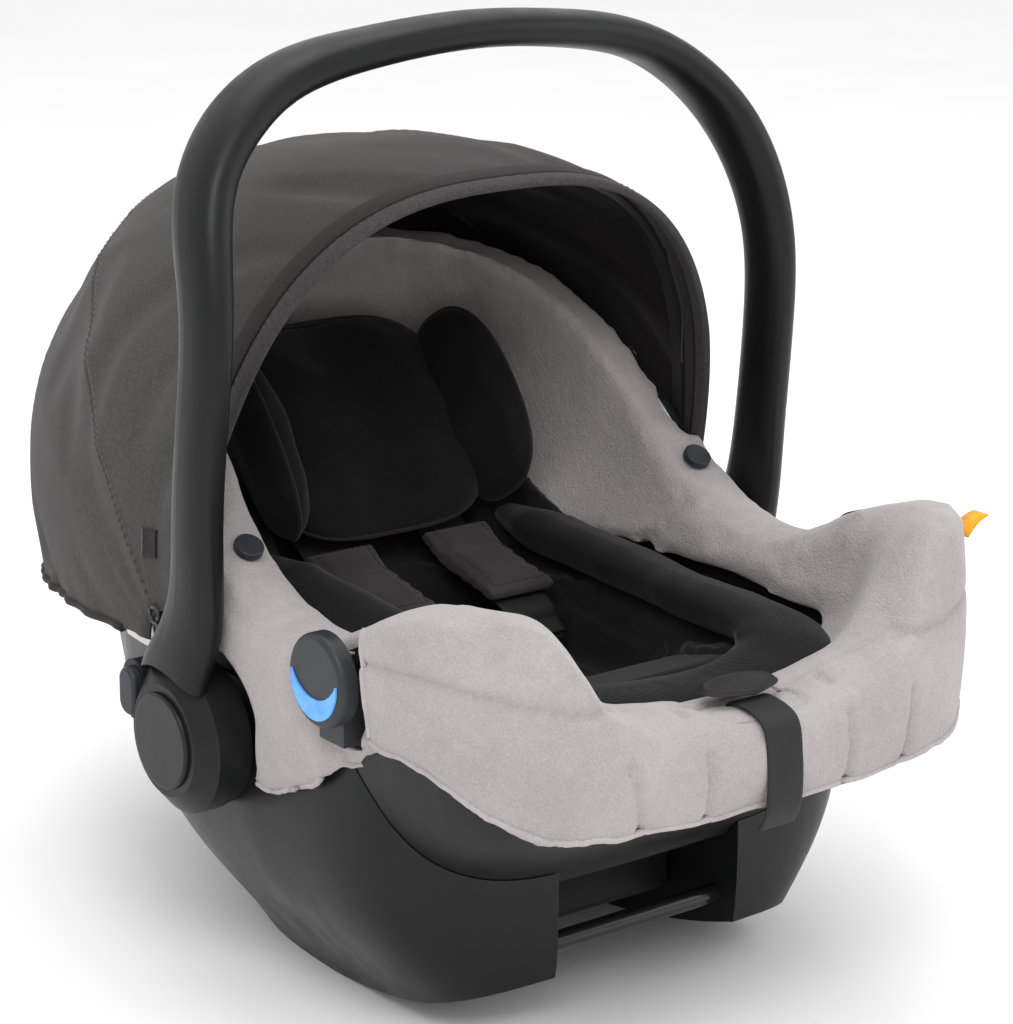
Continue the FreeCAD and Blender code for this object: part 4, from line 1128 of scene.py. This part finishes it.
def patch(name, on, corners, material, lift, across=14, down=14, thick=0.5 * MM):
    """A thin patch on a piece's surface, where that is nearest to a sheet between four corners."""
    tree = tree_of(on)
    a, b, c, d = corners
    tops, bottoms = [], []
    for i in range(down + 1):
        for k in range(across + 1):
            goal = a.lerp(b, k / across).lerp(d.lerp(c, k / across), i / down)
            place, normal = tree.find_nearest(goal)[:2]
            tops.append(place + normal * (lift + thick))
            bottoms.append(place + normal * lift)
    width, count = across + 1, len(tops)
    faces = grid_faces(down, across)
    faces += [(count + p, count + s, count + r, count + q) for p, q, r, s in faces]
    rim = list(range(width)) + [i * width + across for i in range(1, down + 1)]
    rim += [down * width + k for k in range(across - 1, -1, -1)] + [i * width for i in range(down - 1, 0, -1)]
    for p, q in zip(rim, rim[1:] + rim[:1]):
        faces.append((p, count + p, count + q, q))
    return new_object(name, tops + bottoms, faces, material)


LABEL_CORNERS = [(-190, 88, 224), (-190, 150, 212), (-190, 146, 168), (-190, 84, 172)]
TAG_CORNERS = [(-192, 54, 269), (-192, 70, 267), (-192, 69, 250), (-192, 53, 252)]
SNAPS = [(-194, 60, 208), (-194, 16, 214)]
SNAP_SIZE, SNAP_THICK, SNAP_LIFT, SNAP_SIDES = 5 * MM, 1.5 * MM, 0.2 * MM, 20


def make_snap(name, tree, goal):
    """One of the canopy's round snaps, a ring on the cloth's nearest place to the goal."""
    place, normal = tree.find_nearest(spot(*goal))[:2]
    ring = []
    for k in range(SNAP_SIDES):
        angle = 2 * math.pi * k / SNAP_SIDES
        away = Vector((0, SNAP_SIZE * math.cos(angle), SNAP_SIZE * math.sin(angle)))
        ring.append((place + normal * SNAP_LIFT + away, normal))
    return tube(name, ring, SNAP_THICK, "buckle", closed=True)


def make_trim(cover, front):
    """Blank labels and tags, and the canopy's snaps."""
    label = patch("side_label", NODES["outer_shell"], spots(LABEL_CORNERS), "label", 0.2 * MM)
    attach(label, "seat")
    tree = tree_of(front)
    trim = [patch("canopy_tag", front, spots(TAG_CORNERS), "piping", 0.4 * MM, 8, 8, 0.8 * MM)]
    trim += [make_snap(f"canopy_snap_{i}", tree, goal) for i, goal in enumerate(SNAPS)]
    for piece in trim:
        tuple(CANOPY_TOP[MIDDLE_ANGLE])
        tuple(CANOPY_TOP[FRONT_ANGLE])
        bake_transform(piece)
    tab = new_object("cover_tab", *tab_mesh(), "tab")
    root = tree_of(cover).find_nearest(spot(*TAB_ROOT))[0]
    set_coordinates(tab.data, coordinates(tab.data) + np.array(root - spot(*TAB_ROOT)))
    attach(tab, "seat")


TAB_ROOT, TAB_START = (200, -246, 271), (194, -246, 268)
TAB_NEAR, TAB_LONG, TAB_HALF = 6, 20, 8
TAB_SPREAD, TAB_RISE = 0.8, 0.45
TAB_CURL, TAB_THICK = 3, 1.1


def tab_mesh():
    """A small blank tab of woven tape, sewn into the far ear's seam, that narrows on one side and curls."""
    points, rows = [], 8
    for i in range(rows + 1):
        t = i / rows
        out = TAB_NEAR + TAB_LONG * t
        curl = TAB_CURL * math.sin(2.6 * t)
        near, far = -TAB_HALF, TAB_HALF * (1 - 0.5 * t)
        for across, up in ((near, 0), (far, 0), (far, TAB_THICK), (near, TAB_THICK)):
            x, y, z = TAB_START
            points.append(spot(x + out * TAB_SPREAD, y + across, z + out * TAB_RISE + curl + up))
    return points, ring_faces(rows + 1, 4, ends=True)


# ---------------------------------------------------------------- stage, light and camera

def area_light(name, place, target, size, power):
    data = bpy.data.lights.new(name, "AREA")
    data.shape = "RECTANGLE"
    data.size, data.size_y = size
    data.energy = power
    lamp = bpy.data.objects.new(name, data)
    lamp.location = place
    lamp.rotation_euler = (Vector(target) - Vector(place)).to_track_quat("-Z", "Y").to_euler()
    bpy.context.scene.collection.objects.link(lamp)


FLOOR_HALF = 6.0


def make_stage():
    """A plain pale floor, soft light from all round, and three soft lamps."""
    corners = [(x * FLOOR_HALF, y * FLOOR_HALF, 0) for x, y in ((-1, -1), (1, -1), (1, 1), (-1, 1))]
    floor = new_object("floor", corners, [(0, 1, 2, 3)], "label")
    s = Shader("studio_floor", Roughness=0.75, Specular_IOR_Level=0.1)
    pale = s.ramp(s.noise(3.0), 0.3, 0.7, (0.93, 0.93, 0.93), (0.95, 0.95, 0.95))
    floor.data.materials[0] = s.finish(pale)
    world = bpy.data.worlds.new("studio")
    world.use_nodes = True
    sky = world.node_tree.nodes["Background"]
    sky.inputs["Color"].default_value = (1.0, 1.0, 1.0, 1.0)
    sky.inputs["Strength"].default_value = 0.95
    bpy.context.scene.world = world
    low, high = cad_box
    middle = (low + high) / 2
    area_light("key", (-1.3, -1.5, 2.3), middle, (1.4, 1.4), 30.0)
    area_light("fill", (1.9, -1.2, 1.2), middle, (1.6, 1.6), 9.0)
    area_light("top", (0.2, 0.5, 2.6), middle, (2.0, 2.0), 22.0)
    bpy.context.scene.view_settings.view_transform = "Standard"


CAMERA_PLACE = Vector((-1.128353, -1.567755, 0.816292))
CAMERA_TURN, CAMERA_DROP, CAMERA_ROLL = 0.64436, 0.28347, 0.00354
CAMERA_LENS, CAMERA_SENSOR = 113.4668, 36.0


def make_camera():
    """The camera, from its place, its turn from +Y towards +X, its drop below level, and its roll."""
    data = bpy.data.cameras.new("camera")
    data.sensor_width = CAMERA_SENSOR
    data.lens = CAMERA_LENS
    turn, drop = CAMERA_TURN, CAMERA_DROP
    ahead = Vector((math.sin(turn) * math.cos(drop), math.cos(turn) * math.cos(drop), -math.sin(drop)))
    flat_right = Vector((math.cos(turn), -math.sin(turn), 0))
    flat_up = flat_right.cross(ahead)
    right = flat_right * math.cos(CAMERA_ROLL) + flat_up * math.sin(CAMERA_ROLL)
    up = flat_up * math.cos(CAMERA_ROLL) - flat_right * math.sin(CAMERA_ROLL)
    camera = bpy.data.objects.new("camera", data)
    camera.matrix_world = Matrix((
        (right.x, up.x, -ahead.x, CAMERA_PLACE.x),
        (right.y, up.y, -ahead.y, CAMERA_PLACE.y),
        (right.z, up.z, -ahead.z, CAMERA_PLACE.z),
        (0, 0, 0, 1)))
    bpy.context.scene.collection.objects.link(camera)
    bpy.context.scene.camera = camera


# ---------------------------------------------------------------- build

make_camera()
make_stage()
paint_cad_nodes()
cover = soft_copy("seat_cover", "seat_cover_soft", "cover", 4.2 * MM, 0.4 * MM, 4, 1.2 * MM)
insert = soft_copy("body_insert", "body_insert_soft", "insert", 4.0 * MM, 1.5 * MM, 3)
pads = {side: soft_copy("harness_pad_" + side, "harness_pad_soft_" + side, "pad", 2.5 * MM, 0.6 * MM, 2)
        for side in ("left", "right")}
jobs = [(cover, 4.0, 5 * MM), (insert, 4.0, 10 * MM)]
jobs += [(pad, 4.0, 3 * MM) for pad in pads.values()]
skin = tucked_skin(cover)
puff_up(jobs)
finish_cover(cover, skin)
finish_insert(insert)
make_pillow()
make_bolster()
for side, pad in pads.items():
    finish_pad(pad, side)
make_straps()
make_flap()
make_trim(cover, make_canopy())
